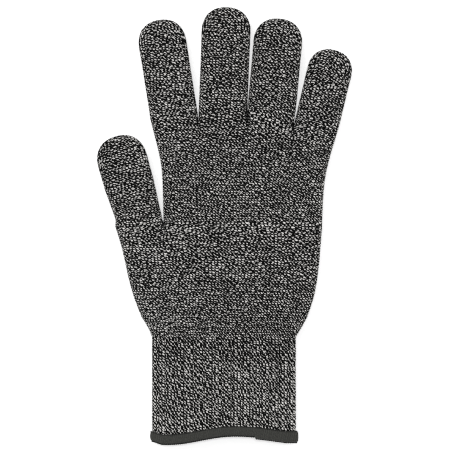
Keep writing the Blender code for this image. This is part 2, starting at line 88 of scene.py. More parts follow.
STALLS = {
    "index": {"width": 27.3 * MM, "lean": math.radians(-9.0), "lengths": (18.4 * MM, 16.6 * MM, 19.6 * MM)},
    "middle": {"width": 27.9 * MM, "lean": math.radians(2.2), "lengths": (19.0 * MM, 17.4 * MM, 19.9 * MM)},
    "ring": {"width": 27.8 * MM, "lean": math.radians(5.2), "lengths": (16.4 * MM, 15.0 * MM, 18.5 * MM)},
    "little": {"width": 25.5 * MM, "lean": math.radians(13.5), "lengths": (13.0 * MM, 11.6 * MM, 16.4 * MM)},
    "thumb": {"width": 28.6 * MM, "lean": math.radians(-15.8), "lengths": (22.6 * MM, 25.8 * MM)},
}
THUMB_ROOT_NARROWER, THUMB_ROOT_LENGTH, THUMB_BEND_SKEW = 2.6 * MM, 20.0 * MM, 0.6
HEM_ARCH, HEM_PEAK, HEM_FALL = 4.9 * MM, 0.15, (0.95, 1.25)
CUFF_LENGTH = 60.25 * MM
ARCH_FADES_OVER = CUFF_LENGTH - 6 * MM
HEM_DEPTH = 4.2 * MM
HEM_STITCHES = 156
LAP_START, LAP_STITCHES = 0.352, 26  # share of the way round the cuff, and stitches that lap over
FINGER_SPANS = 16  # grid spans across one sheet of a stall
# These widths divided by the wale pitch give the number of wales in one sheet.
UPPER_PALM_WIDTH, LOWER_PALM_WIDTH, RIB_WIDTH = 105 * MM, 112 * MM, 88 * MM
WRIST_RINGS, CUFF_SPLIT = 4, 23  # palm ring where the wrist's piece ends, cuff ring where it begins
GROUND_SCALE = (1.0, 1.6)  # yarn coordinates for each grid span of the ground, across and along
PLAIN_LEGS, RIB_LEGS = (0.52, 0.36), (0.62, 0.13)  # half length and lean of a leg, in stitches
FLOOR_HALF, FLOOR_DROP = 3.0, 0.2 * MM


# ------------------------------------------------------------------ settings
def length_property(name, description, default, **limits):
    """A setting that is a length in metres."""
    return bpy.props.FloatProperty(
        name=name, description=description, default=default, unit="LENGTH", **limits
    )


def colour_property(name, description, default):
    """A setting that is a colour of three numbers."""
    return bpy.props.FloatVectorProperty(
        name=name, description=description, subtype="COLOR", size=3, default=default
    )


class KnitSettings(bpy.types.PropertyGroup):
    wale_pitch: length_property("Wale pitch", "Width of one stitch", 1.85 * MM, min=0.8 * MM)
    course_pitch: length_property("Course pitch", "Height of one stitch", 1.5 * MM, min=0.6 * MM)
    relief: length_property("Yarn relief", "Half the thickness of the yarn", 0.36 * MM)
    fullness: bpy.props.FloatProperty(
        name="Yarn fullness", description="Half the yarn's width as a share of a stitch", default=0.30
    )
    rib_wales: bpy.props.IntProperty(
        name="Rib repeat", description="Stitches from one furrow of the cuff's rib to the next", default=3
    )
    rib_depth: length_property("Rib depth", "How deep the furrows of the cuff's rib are", 0.4 * MM)
    seed: bpy.props.IntProperty(name="Seed", description="Start of the yarn's irregularity", default=7)


class YarnSettings(bpy.types.PropertyGroup):
    dark: colour_property("Dark ply", "Colour of the yarn's dark ply", (0.002, 0.002, 0.002))
    light: colour_property("Light ply", "Colour of the yarn's light ply", (0.50, 0.49, 0.475))
    twist: length_property("Twist", "Length of yarn in which the plies turn once", 3.5 * MM)
    thread: colour_property("Hem thread", "Colour of the overlock thread", (0.036, 0.0365, 0.033))
    elastic: colour_property("Elastic", "Colour of the elastic yarn", (0.30, 0.29, 0.27))


class StageSettings(bpy.types.PropertyGroup):
    floor: colour_property("Floor", "Colour of the floor", (0.92, 0.92, 0.92))
    light: bpy.props.FloatProperty(name="Sky light", description="Strength of the even light", default=0.5)
    distance: length_property("Camera distance", "Height of the camera above the glove", 1.6)
    framed: length_property("Framed height", "Height of the picture at the glove", 0.2574)


def knit():
    """The scene's knit settings."""
    return bpy.context.scene.glove_knit


# ------------------------------------------------------------------ shape rules
def smooth(t):
    """Smoothstep of t held between 0 and 1: 3t squared less 2t cubed."""
    t = np.clip(t, 0.0, 1.0)
    return t * t * (3 - 2 * t)


def curve_through(points, y):
    """x at y on the smooth curve through (y, x) points in millimetres.

    Cubic Hermite spans whose slope at a point is that of the line between its neighbours.
    """
    at, value = np.array(points, float).T
    slope = np.gradient(value, at)
    slope[1:-1] = (value[2:] - value[:-2]) / (at[2:] - at[:-2])
    y = np.atleast_1d(np.asarray(y, float)) / MM
    i = np.clip(np.searchsorted(at, y) - 1, 0, len(at) - 2)
    step = at[i + 1] - at[i]
    t = (y - at[i]) / step
    inside = np.clip(t, 0, 1)
    a, b = inside * inside, inside**3
    x = (
        (2 * b - 3 * a + 1) * value[i]
        + (b - 2 * a + inside) * step * slope[i]
        + (3 * a - 2 * b) * value[i + 1]
        + (b - a) * step * slope[i + 1]
    )
    beyond = (t - inside) * step
    return (x + beyond * np.where(t > 1, slope[i + 1], slope[i])) * MM


def crown(across, squareness=SQUARENESS):
    """Fullness of a section from 1 in its middle to 0 at its edges: (1 - |s|^p)^(1/p)."""
    return np.clip(1 - np.abs(across) ** squareness, 0, 1) ** (1 / squareness)


def heights(full, bottom, thickness):
    """z of the upper and the lower sheet where the section is this full; the lower one is pressed flat."""
    middle = bottom + WIDEST_AT * thickness
    upper = middle + (1 - WIDEST_AT) * thickness * full
    lower = middle - (1 + FOOT_SINK) * WIDEST_AT * thickness * full
    return upper, np.maximum(bottom, lower)


def places(spans):
    """Places across a tube, from -1 to 1, closer together at its edges: minus the cosine of even angles."""
    return -np.cos(np.pi * np.arange(spans + 1) / spans)


def ring_of(upper, lower):
    """A closed ring from an upper row (left to right) and a lower row with the same ends."""
    return np.concatenate([upper, lower[-2:0:-1]])


def palm_bottom(y):
    """Lift of the palm's underside: the cuff's lift times (1 - y over its length) squared."""
    return CUFF_LIFT * np.clip(1 - y / WRIST_LIFT_ENDS, 0, 1) ** 2


def palm_thickness(y):
    """Thickness of the palm: smooth steps from the cuff's to the palm's and from there to the fingers'."""
    swell = CUFF_THICKNESS + (PALM_THICKNESS - CUFF_THICKNESS) * smooth(y / PALM_SWELL_ENDS)
    fall = smooth((y - PALM_FALL_FROM) / PALM_FALL_LENGTH)
    return swell + (FINGER_THICKNESS - PALM_THICKNESS) * fall


def creases(spots):
    """How far soft folds sink the upper sheet.

    A sum of valleys along segments, each its depth times e to the minus (distance / width) squared.
    """
    folds = (
        ((-11, 34), (-4, 18), 3.0, 0.9),
        ((27, 31), (48, 32), 5.0, 0.45),
        ((-50, 12), (-34, 17), 4.0, 0.8),
        ((-20, 10), (12, 12), 3.2, 0.5),
        ((-30, 52), (-38, 60), 3.0, 0.7),
        ((20, 88), (34, 80), 4.0, 0.5),
        ((-6, 100), (8, 94), 4.5, 0.4),
        ((-10, -20), (10, -24), 4.0, 0.3),
    )
    flat = spots[..., :2] - WRIST[:2]
    sunk = np.zeros(spots.shape[:-1])
    for start, end, width, depth in folds:
        a, b = np.array(start) * MM, np.array(end) * MM
        t = np.clip(((flat - a) @ (b - a)) / ((b - a) @ (b - a)), 0, 1)
        away = np.linalg.norm(flat - a - t[..., None] * (b - a), axis=-1)
        sunk += depth * MM * np.exp(-((away / (width * MM)) ** 2))
    return sunk


def undulation(spots):
    """Gentle waves of a soft fabric, about 0.25 mm each way: a sum of three crossing sines."""
    x, y = (spots[..., :2] - WRIST[:2]).T / MM
    waves = np.sin(x / 5.1 + 1.3 * np.sin(y / 17))
    waves = waves + np.sin(y / 6.3 + 1.7 * np.sin(x / 13) + 1)
    waves = waves + np.sin((x - y) / 9.5)
    return 0.09 * MM * waves.T


# ------------------------------------------------------------------ sections as grids of points
def stall_start(name):
    """Plan position of a stall's first bend line."""
    return np.array(JOINTS[f"{name}_base_bend"]["pos_m"])[:2]


def stall_directions(name):
    """Plan directions along a stall and across it: (sin a, cos a) and (cos a, -sin a) for its lean a."""
    lean = STALLS[name]["lean"]
    return np.array([math.sin(lean), math.cos(lean)]), np.array([math.cos(lean), -math.sin(lean)])


def stall_points(name, across, along, sheet, inset):
    """Points of a stall: across is -1 to 1, along is the distance from its first bend line.

    sheet is 0 above and 1 below.
    In plan a point is the start plus along on the middle line plus across times half the width; rows start
    parallel to the bend line and turn square to the stall. In the closed tip the half width and the fullness
    shrink together as (1 - t^q)^(1/q). inset moves the sheet inwards.
    """
    stall = STALLS[name]
    forward, sideways = stall_directions(name)
    radius = stall["width"] / 2
    dome_from = sum(stall["lengths"]) - radius
    skew = np.interp(along, [0, dome_from - 6 * MM, dome_from], [1, 1, 0])
    half = radius
    thickness = FINGER_THICKNESS
    if name == "thumb":
        skew = np.interp(along, [0, stall["lengths"][0]], [THUMB_BEND_SKEW, 0])
        half = radius - THUMB_ROOT_NARROWER / 2 * np.clip(1 - along / THUMB_ROOT_LENGTH, 0, 1)
        thickness = THUMB_THICKNESS
    beyond = np.clip((along - dome_from) / (radius - inset), 0, 1)
    narrow = np.clip(1 - beyond**TIP_SQUARENESS, 1e-9, 1) ** (1 / TIP_SQUARENESS)
    reach = across * (half - inset)
    full = crown(np.clip(across / narrow, -1, 1)) * narrow
    lag = skew * reach * math.tan(stall["lean"])
    plan = stall_start(name) + (along + lag)[..., None] * forward + reach[..., None] * sideways
    z = heights(full, inset, thickness - 2 * inset)[sheet]
    return np.concatenate([plan, z[..., None]], axis=-1)


def stall_end(name, across, inset):
    """Where a line along a stall meets the edge of its closed tip."""
    stall = STALLS[name]
    radius = stall["width"] / 2
    return sum(stall["lengths"]) - radius + (radius - inset) * crown(across, TIP_SQUARENESS)


def palm_row(knots, shares, lobes, inset):
    """A closed ring across tubes that merge, on the plan points where the tubes meet.

    The fullness is a mix, by lobes, of one crown over the whole width and one crown for each tube.
    """
    upper, lower = [], []
    knots = np.array(knots, float)
    knots[0, 0] += inset
    knots[-1, 0] -= inset
    for k in range(len(knots) - 1):
        place = places(FINGER_SPANS)[0 if k == 0 else 1 :]
        t = ((place + 1) / 2)[:, None]
        spot = knots[k] * (1 - t) + knots[k + 1] * t
        share = shares[k] * (1 - t[:, 0]) + shares[k + 1] * t[:, 0]
        full = crown(2 * share - 1) * (1 - lobes) + crown(place) * lobes
        y = spot[:, 1]
        above, below = heights(full, palm_bottom(y) + inset, palm_thickness(y) - 2 * inset)
        spot = spot + WRIST[:2]
        upper.append(np.column_stack([spot, above]))
        lower.append(np.column_stack([spot, below]))
    return ring_of(np.concatenate(upper), np.concatenate(lower))


def upper_palm_rings(inset=0.0):
    """Rings of the four-finger palm, from the thumb's crotch to the roots of the fingers."""
    left_y, right_y = PALM_LEFT[-1][0] * MM, PALM_RIGHT[-1][0] * MM
    top_left = (curve_through(PALM_LEFT, left_y)[0], left_y)
    top_right = (curve_through(PALM_RIGHT, right_y)[0], right_y)
    top = np.array([top_left, *CROTCHES, top_right])
    shares = (top[:, 0] - top[0, 0]) / (top[-1, 0] - top[0, 0])
    plain = 109.3 * MM
    rings = []
    for y in (65.8, 72, 78, 84, 90, 96, 101, 105.5, 109.3):
        left, right = curve_through(PALM_LEFT, y * MM)[0], curve_through(PALM_RIGHT, y * MM)[0]
        knots = np.column_stack([left + shares * (right - left), np.full(len(shares), y * MM)])
        rings.append(palm_row(knots, shares, 0.0, inset))
    for part in (0.2, 0.4, 0.55, 0.7, 0.82, 0.92, 1.0):
        ys = plain + (top[:, 1] - plain - (inset if part == 1.0 else 0)) * part
        left, right = curve_through(PALM_LEFT, ys[0])[0], curve_through(PALM_RIGHT, ys[-1])[0]
        xs = (left + shares * (right - left)) * (1 - part) + top[:, 0] * part
        xs[0], xs[-1] = left, right
        lobes = part**2.2 * (0.9 if inset > 1 * MM else 1.0)
        rings.append(palm_row(np.column_stack([xs, ys]), shares, lobes, inset))
    return np.array(rings)


def lower_palm_rings(inset=0.0):
    """Rings of the five-finger palm, from the wrist to the thumb's crotch."""
    crotch_x, crotch_y = THUMB_CROTCH
    left = curve_through(THUMB_SIDE, crotch_y)[0]
    right = curve_through(PALM_RIGHT, crotch_y)[0]
    share = (crotch_x - left) / (right - left)
    shares = np.array([0.0, share, share + (1 - share) / 3, share + (1 - share) * 2 / 3, 1.0])
    rings = []
    for y in (0, 2.5, 5, 8, 11, 15, 19, 24, 30, 36, 42, 48, 54, 58, 61, 63.5, 65.8):
        part = smooth((y - 53.8) / 12.0) ** 1.5
        ys = np.full(len(shares), y * MM)
        ys[0] -= THUMB_SIDE_DROP * part
        low, high = curve_through(THUMB_SIDE, ys[0])[0], curve_through(PALM_RIGHT, ys[-1])[0]
        xs = low + shares * (high - low)
        knots = np.column_stack([xs, ys])
        rings.append(thumb_row(knots, shares, share, part, inset))
    return np.array(rings)


def thumb_row(knots, shares, split, lobes, inset):
    """A ring of the five-finger palm.

    The fullness is a mix, by lobes, of one crown over the whole width and two on either side of the split.
    """
    ring = palm_row(knots, shares, 0.0, inset)
    if lobes <= 0:
        return ring
    half = len(ring) // 2
    share = []
    for k in range(len(shares) - 1):
        t = places(FINGER_SPANS)[0 if k == 0 else 1 :] * 0.5 + 0.5
        share.append(shares[k] + (shares[k + 1] - shares[k]) * t)
    share = np.concatenate(share)
    own = np.where(share <= split, 2 * share / split - 1, 2 * (share - split) / (1 - split) - 1)
    full = crown(2 * share - 1) * (1 - lobes) + crown(own) * lobes
    y = ring[: half + 1, 1] - WRIST[1]
    above, below = heights(full, palm_bottom(y) + inset, palm_thickness(y) - 2 * inset)
    ring[: half + 1, 2] = above
    ring[half:, 2] = below[half:0:-1]
    return ring


def hem_arch(place):
    """How far the cuff's end stands back.

    Half of its arch times one plus a cosine that runs out to each side; a smooth step draws in the corners.
    """
    off = place - HEM_PEAK
    share = np.clip(np.abs(off) / np.where(off > 0, HEM_FALL[1], HEM_FALL[0]), 0, 1)
    corner = np.where(off > 0, 0.6 * MM, 1.5 * MM) * smooth((np.abs(place) - 0.84) / 0.16)
    return HEM_ARCH * (1 + np.cos(np.pi * share)) / 2 + corner


def cuff_section():
    """Places across the cuff, from -1 to 1, and its closed section as (x, z)."""
    place = places(4 * FINGER_SPANS)
    above, below = heights(crown(place), CUFF_LIFT, CUFF_THICKNESS)
    x = place * CUFF_HALF_WIDTH
    return place, ring_of(np.column_stack([x, above]), np.column_stack([x, below]))


def cuff_ring(up, outward):
    """A closed ring of the cuff, up from its arched end, moved outward along the section's own normals."""
    place, flat = cuff_section()
    run = np.roll(flat, -1, 0) - np.roll(flat, 1, 0)
    run /= np.linalg.norm(run, axis=1)[:, None]
    flat = flat + np.column_stack([-run[:, 1], run[:, 0]]) * outward
    at = np.clip(ring_of(place[:, None], place[:, None])[:, 0], -1, 1)
    share = np.clip(1 - up / ARCH_FADES_OVER, 0, 1)
    y = -CUFF_LENGTH + up + share * hem_arch(at)
    return np.column_stack([flat[:, 0] + WRIST[0], y + WRIST[1], flat[:, 1]])


def cuff_rings(inset=0.0):
    """Rings of the cuff from its arched end to the wrist line."""
    ups = np.concatenate([[0.0, 1.5, 3, 5, 7.5], np.linspace(10, 56, 24), [58, 60.25]]) * MM
    return np.array([cuff_ring(up, -inset) for up in ups])


# ------------------------------------------------------------------ even stitches on a grid
def lengths_along(lines):
    """Distance covered so far along each line of points (lines, points, 3)."""
    steps = np.linalg.norm(np.diff(lines, axis=1), axis=2)
    return np.concatenate([np.zeros((len(lines), 1)), np.cumsum(steps, axis=1)], axis=1)


def resample(lines, count):
    """Each line of points divided evenly by length into count parts."""
    run = lengths_along(lines)
    out = np.empty((len(lines), count + 1, 3))
    for k, (line, at) in enumerate(zip(lines, run)):
        wanted = np.linspace(0, at[-1], count + 1)
        for axis in range(3):
            out[k, :, axis] = np.interp(wanted, at, line[:, axis])
    return out


def even_rows(rows, pitch):
    """Rows spaced evenly by their mean distance, by straight interpolation between the given rows."""
    steps = np.linalg.norm(np.diff(rows, axis=0), axis=2).mean(1)
    at = np.concatenate([[0], np.cumsum(steps)])
    count = max(1, round(at[-1] / pitch))
    wanted = np.linspace(0, at[-1], count + 1)
    i = np.clip(np.searchsorted(at, wanted) - 1, 0, len(at) - 2)
    t = ((wanted - at[i]) / (at[i + 1] - at[i]))[:, None, None]
    return rows[i] * (1 - t) + rows[i + 1] * t


def softened(points, upper):
    """Adds waves less folds to the height of the points flagged as upper; the underside stays flat."""
    lift = (undulation(points) - creases(points)) * np.where(upper, 1.0, 0.0)
    out = points.copy()
    out[..., 2] += lift
    return out


def stitch_frames(grid):
    """Centre, across and along vectors and normal of each cell of a grid (rows, columns, 3).

    The centre is the mean of the four corners, across and along are the mean differences of opposite
    sides, and the normal is their cross product at length one.
    """
    a, b, c, d = grid[:-1, :-1], grid[:-1, 1:], grid[1:, 1:], grid[1:, :-1]
    across = (b + c - a - d) / 2
    along = (c + d - a - b) / 2
    normal = np.cross(across, along)
    normal /= np.linalg.norm(normal, axis=-1)[..., None] + 1e-12
    rows, columns = np.meshgrid(np.arange(a.shape[0]), np.arange(a.shape[1]), indexing="ij")
    return {
        "centre": ((a + b + c + d) / 4).reshape(-1, 3),
        "across": across.reshape(-1, 3),
        "along": along.reshape(-1, 3),
        "normal": normal.reshape(-1, 3),
        "row": rows.ravel().astype(float),
        "column": columns.ravel().astype(float),
    }


def joined(frames):
    """Several sets of stitch frames as one."""
    return {key: np.concatenate([f[key] for f in frames]) for key in frames[0]}


# ------------------------------------------------------------------ yarn beads
RING_AT = np.array([-0.58, 0.0, 0.58])
RING_SIZE = np.array([0.80, 1.0, 0.80])
SIDES = 5
END_SAG, BOW = 0.55, 0.45  # how far a bead's ends and rings sink, in half heights
FEWEST_BEADS = 12  # a body with fewer cells than this is a skin


def bead_template():
    """Faces of one closed bead (end, rings of five, end) and their corner coordinates (along, around)."""
    faces, corners = [], []
    first, last = 0, 1 + SIDES * len(RING_AT)
    for k in range(SIDES):
        n = (k + 1) % SIDES
        u0, u1 = k / SIDES, (k + 1) / SIDES
        faces.append((first, 1 + n, 1 + k))
        corners.append(((-1, (u0 + u1) / 2), (RING_AT[0], u1), (RING_AT[0], u0)))
        for r in range(len(RING_AT) - 1):
            a, b = 1 + r * SIDES, 1 + (r + 1) * SIDES
            low, high = RING_AT[r], RING_AT[r + 1]
            faces.append((a + k, a + n, b + n))
            corners.append(((low, u0), (low, u1), (high, u1)))
            faces.append((a + k, b + n, b + k))
            corners.append(((low, u0), (high, u1), (high, u0)))
        a = 1 + (len(RING_AT) - 1) * SIDES
        faces.append((a + k, a + n, last))
        corners.append(((RING_AT[-1], u0), (RING_AT[-1], u1), (1, (u0 + u1) / 2)))
    return np.array(faces), np.array(corners, float)


BEAD_FACES, BEAD_CORNERS = bead_template()


def beads(centre, axis, wide, high, half_width, half_height):
    """Closed beads along an axis vector (half its length), with elliptical rings and pointed ends.

    A ring at t is at centre + t axis - BOW t squared half_height high, plus size times
    (half_width cos a wide + half_height sin a high) for its five angles a.
    """
    angle = 2 * np.pi * np.arange(SIDES) / SIDES - np.pi / 2
    verts = np.empty((len(centre), 2 + SIDES * len(RING_AT), 3))
    verts[:, 0] = centre - axis - high * half_height[:, None] * END_SAG
    verts[:, -1] = centre + axis - high * half_height[:, None] * END_SAG
    for r, (t, size) in enumerate(zip(RING_AT, RING_SIZE)):
        middle = centre + axis * t - high * (half_height * BOW * t * t)[:, None]
        for k in range(SIDES):
            sideways = wide * (half_width * size * math.cos(angle[k]))[:, None]
            upwards = high * (half_height * size * math.sin(angle[k]))[:, None]
            verts[:, 1 + r * SIDES + k] = middle + sideways + upwards
    return verts


def stitch_beads(frames, turns, legs):
    """The two beads of each stitch and each bead's twist phase.

    They meet towards the fingertips and spread towards the wrist. legs is half their length and their lean,
    in stitches. The right bead is thicker and stands higher than the left.
    """
    settings = knit()
    relief, fullness = settings.relief, settings.fullness
    reach, slant = legs
    rng = np.random.default_rng(settings.seed + len(frames["row"]))
    centre, across, along, normal = (frames[k] for k in ("centre", "across", "along", "normal"))
    width = np.linalg.norm(across, axis=1)
    count = len(centre)

    def jitter(size):
        """A random number of this spread for each stitch."""
        return rng.normal(0, size, count)[:, None]

    verts, phases = [], []
    for side in (-1, 1):
        right = side > 0
        middle = centre + across * ((0.22 if right else -0.27) + jitter(0.02)) + along * jitter(0.05)
        lean = slant + 0.09 * side
        axis = along * (reach + jitter(0.04)) - across * (lean + jitter(0.05))
        run = axis / np.linalg.norm(axis, axis=1)[:, None]
        wide = np.cross(run, normal)
        wide /= np.linalg.norm(wide, axis=1)[:, None]
        thick = width * fullness * (1.16 if right else 0.9) * (1 + rng.normal(0, 0.07, count))
        tall = relief * (1.06 if right else 0.9) * (1 + rng.normal(0, 0.09, count))
        verts.append(beads(middle - normal * relief * 0.55, axis, wide, normal, thick, tall))
        phases.append(turns + (0.0 if right else -0.46) + rng.normal(0, 0.04, count))
    return np.concatenate(verts), np.concatenate(phases)


def triangles(*corners):
    """Corner coordinates (faces, 3, 2) of triangles from three (u, v) pairs of arrays."""
    return np.stack([np.stack(np.broadcast_arrays(u, v), -1) for u, v in corners], 1).astype(float)


def strip(grid, scale, closed):
    """A grid of points (rows, columns, 3) as triangles: its points, faces, yarn and bake coordinates.

    closed joins its last column to its first.
    """
    rows, columns = grid.shape[:2]
    wide = columns if closed else columns - 1
    r, c = np.meshgrid(np.arange(rows - 1), np.arange(wide), indexing="ij")
    r, c = r.ravel(), c.ravel()
    n = (c + 1) % columns
    a, b, d, e = r * columns + c, r * columns + n, (r + 1) * columns + n, (r + 1) * columns + c
    faces = np.concatenate([np.column_stack([a, b, d]), np.column_stack([a, d, e])])
    first = triangles((c, r), (c + 1, r), (c + 1, r + 1))
    second = triangles((c, r), (c + 1, r + 1), (c, r + 1))
    corners = np.concatenate([first, second])
    return grid.reshape(-1, 3), faces, corners * np.array(scale), corners / np.array([wide, rows - 1])


class Piece:
    """Collects closed bodies with a material, yarn coordinates and a bake layout into one object."""

    def __init__(self, name):
        """An empty piece of this name."""
        self.name = name
        self.verts, self.faces, self.material, self.yarn, self.cells = [], [], [], [], []
        self.count = 0

    def add(self, verts, faces, material, yarn, cells):
        """One body: faces index verts and yarn is (faces, 3, 2).

        cells holds each face's bake cell, the number of cells and the places of the corners in them.
        """
        self.verts.append(verts)
        self.faces.append(faces + self.count)
        self.material.append(np.full(len(faces), material))
        self.yarn.append(yarn)
        self.cells.append(cells)
        self.count += len(verts)

    def add_beads(self, verts, phases, length):
        """Beads (beads, vertices, 3): each turns by its length over the twist, starting from its phase."""
        count, per = verts.shape[:2]
        faces = (BEAD_FACES[None] + (np.arange(count) * per)[:, None, None]).reshape(-1, 3)
        along = BEAD_CORNERS[None, :, :, 0] * (length / 2 / twist())[:, None, None] + phases[:, None, None]
        around = np.broadcast_to(BEAD_CORNERS[None, :, :, 1], along.shape)
        yarn = np.stack([along, around], -1).reshape(-1, 3, 2)
        local = np.stack([around, (BEAD_CORNERS[None, :, :, 0] + 1) / 2 + np.zeros_like(along)], -1)
        cell = np.repeat(np.arange(count), len(BEAD_FACES))
        self.add(verts.reshape(-1, 3), faces, 0, yarn, (cell, count, local.reshape(-1, 3, 2)))

    def add_skin(self, outer, inner, scale, closed, capped):
        """A closed wall between two grids of one size; capped means that the last row closes on itself."""
        rows, columns = outer.shape[:2]
        shift = rows * columns
        skins = [strip(outer, scale, closed), strip(inner, scale, closed)]
        faces = [skins[0][1], skins[1][1][:, ::-1] + shift]
        yarn = [skins[0][2], skins[1][2][:, ::-1]]
        local = [skins[0][3], skins[1][3][:, ::-1]]
        cells = [np.full(len(face), number) for number, face in enumerate(faces)]

        def rim(edge):
            """Triangles between the same run of vertices on both skins."""
            i, j = edge[:-1], edge[1:]
            quads = [np.column_stack([i, i + shift, j + shift]), np.column_stack([i, j + shift, j])]
            place = np.linspace(0, 1, len(edge))
            p, q = place[:-1], place[1:]
            corner = np.concatenate([triangles((p, 0), (p, 1), (q, 1)), triangles((p, 0), (q, 1), (q, 0))])
            faces.append(np.concatenate(quads))
            yarn.append(corner * np.array([columns * scale[0], scale[1]]))
            cells.append(np.full(len(corner), len(cells)))
            local.append(corner)

        index = np.arange(shift).reshape(rows, columns)
        if closed:
            index = np.column_stack([index, index[:, 0]])
        rim(index[0])
        if not capped:
            rim(index[-1, ::-1])
        if not closed:
            rim(index[::-1, 0])
            rim(index[:, -1])
        verts = np.concatenate([skins[0][0], skins[1][0]])
        layout = (np.concatenate(cells), len(cells), np.concatenate(local))
        self.add(verts, np.concatenate(faces), 1, np.concatenate(yarn), layout)

    def bake_layout(self):
        """Every bead and strip in its own cell of a square grid; a skin's cells are many beads wide."""
        skins = [c for c in self.cells if c[1] < FEWEST_BEADS]
        small = [c for c in self.cells if c[1] >= FEWEST_BEADS]
        big_rows = sum(c[1] for c in skins)
        share = min(0.5, 0.06 * big_rows) if small and skins else (1.0 if skins else 0.0)
        total = sum(c[1] for c in small)
        columns = max(1, math.ceil(math.sqrt(total * 2.2)))
        lines = max(1, math.ceil(total / columns))
        out, skin_at, bead_at = [], 0, 0
        for cell, count, local in self.cells:
            if count < FEWEST_BEADS:
                low = (skin_at + cell)[:, None] * share / max(1, big_rows)
                u = 0.004 + local[..., 0] * 0.992
                v = low + (0.06 + 0.88 * local[..., 1]) * share / max(1, big_rows)
                skin_at += count
            else:
                at = bead_at + cell
                col, line = at % columns, at // columns
                u = (col[:, None] + 0.08 + 0.84 * local[..., 0]) / columns
                v = share + (1 - share) * (line[:, None] + 0.06 + 0.88 * local[..., 1]) / lines
                bead_at += count
            out.append(np.stack([u, v], -1))
        return np.concatenate(out)

    def make(self, materials, replaced, body=None, blend=None):
        """The object: it rides on one body, or, where a blend is given, stays put with its points in world
        space.
        """
        verts, faces = np.concatenate(self.verts), np.concatenate(self.faces)
        mesh = bpy.data.meshes.new(self.name)
        mesh.vertices.add(len(verts))
        mesh.vertices.foreach_set("co", verts.astype(np.float32).ravel())
        mesh.loops.add(faces.size)
        mesh.loops.foreach_set("vertex_index", faces.astype(np.int32).ravel())
        mesh.polygons.add(len(faces))
        mesh.polygons.foreach_set("loop_start", np.arange(0, faces.size, 3, dtype=np.int32))
        mesh.polygons.foreach_set("material_index", np.concatenate(self.material).astype(np.int32))
        mesh.polygons.foreach_set("use_smooth", np.ones(len(faces), bool))
        mesh.update(calc_edges=True)
        for name, values in (("OFBake", self.bake_layout()), ("Yarn", np.concatenate(self.yarn))):
            layer = mesh.uv_layers.new(name=name)
            layer.uv.foreach_set("vector", values.astype(np.float32).ravel())
        for material in materials:
            mesh.materials.append(material)
        obj = bpy.data.objects.new(self.name, mesh)
        bpy.context.scene.collection.objects.link(obj)
        if replaced:
            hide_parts(*replaced)
        if blend:
            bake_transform(obj)
        else:
            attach(obj, body)


def twist():
    """Length of yarn in which the plies turn once."""
    return bpy.context.scene.glove_yarn.twist


def yarn_turns(frames, per_row, start):
    """The yarn's twist when it reaches each stitch: nearly a whole number of turns, wandering slowly."""
    order = (frames["row"] * per_row + frames["column"]).astype(int)
    rng = np.random.default_rng(knit().seed * 31 + int(start * 10))
    steps = rng.normal(0, 1, order.max() + 2)
    kernel = np.exp(-np.arange(30) / 4.0)
    wander = np.convolve(steps, kernel / np.sqrt((kernel**2).sum()))[: len(steps)]
    own = rng.normal(0, 0.07, len(order)) + np.floor(rng.random(len(order)) * 9)
    return 0.75 + 0.3 * wander[order] + own


def stitch(piece, frames, per_row, start, sunk=0.0, legs=PLAIN_LEGS):
    """Adds these stitches' yarn to a piece."""
    turns = yarn_turns(frames, per_row, start)
    frames = dict(frames)
    frames["centre"] = frames["centre"] - frames["normal"] * (0.10 * MM) - frames["normal"] * sunk
    verts, phases = stitch_beads(frames, turns, legs)
    length = 2 * np.linalg.norm(np.concatenate([frames["along"]] * 2), axis=1) * 0.68
    piece.add_beads(verts, phases, length)


# ------------------------------------------------------------------ materials
def group_socket(group, name, kind, in_out, default=None):
    """Adds an input or output to a node group."""
    socket = group.interface.new_socket(name=name, in_out=in_out, socket_type=kind)
    if default is not None:
        socket.default_value = default


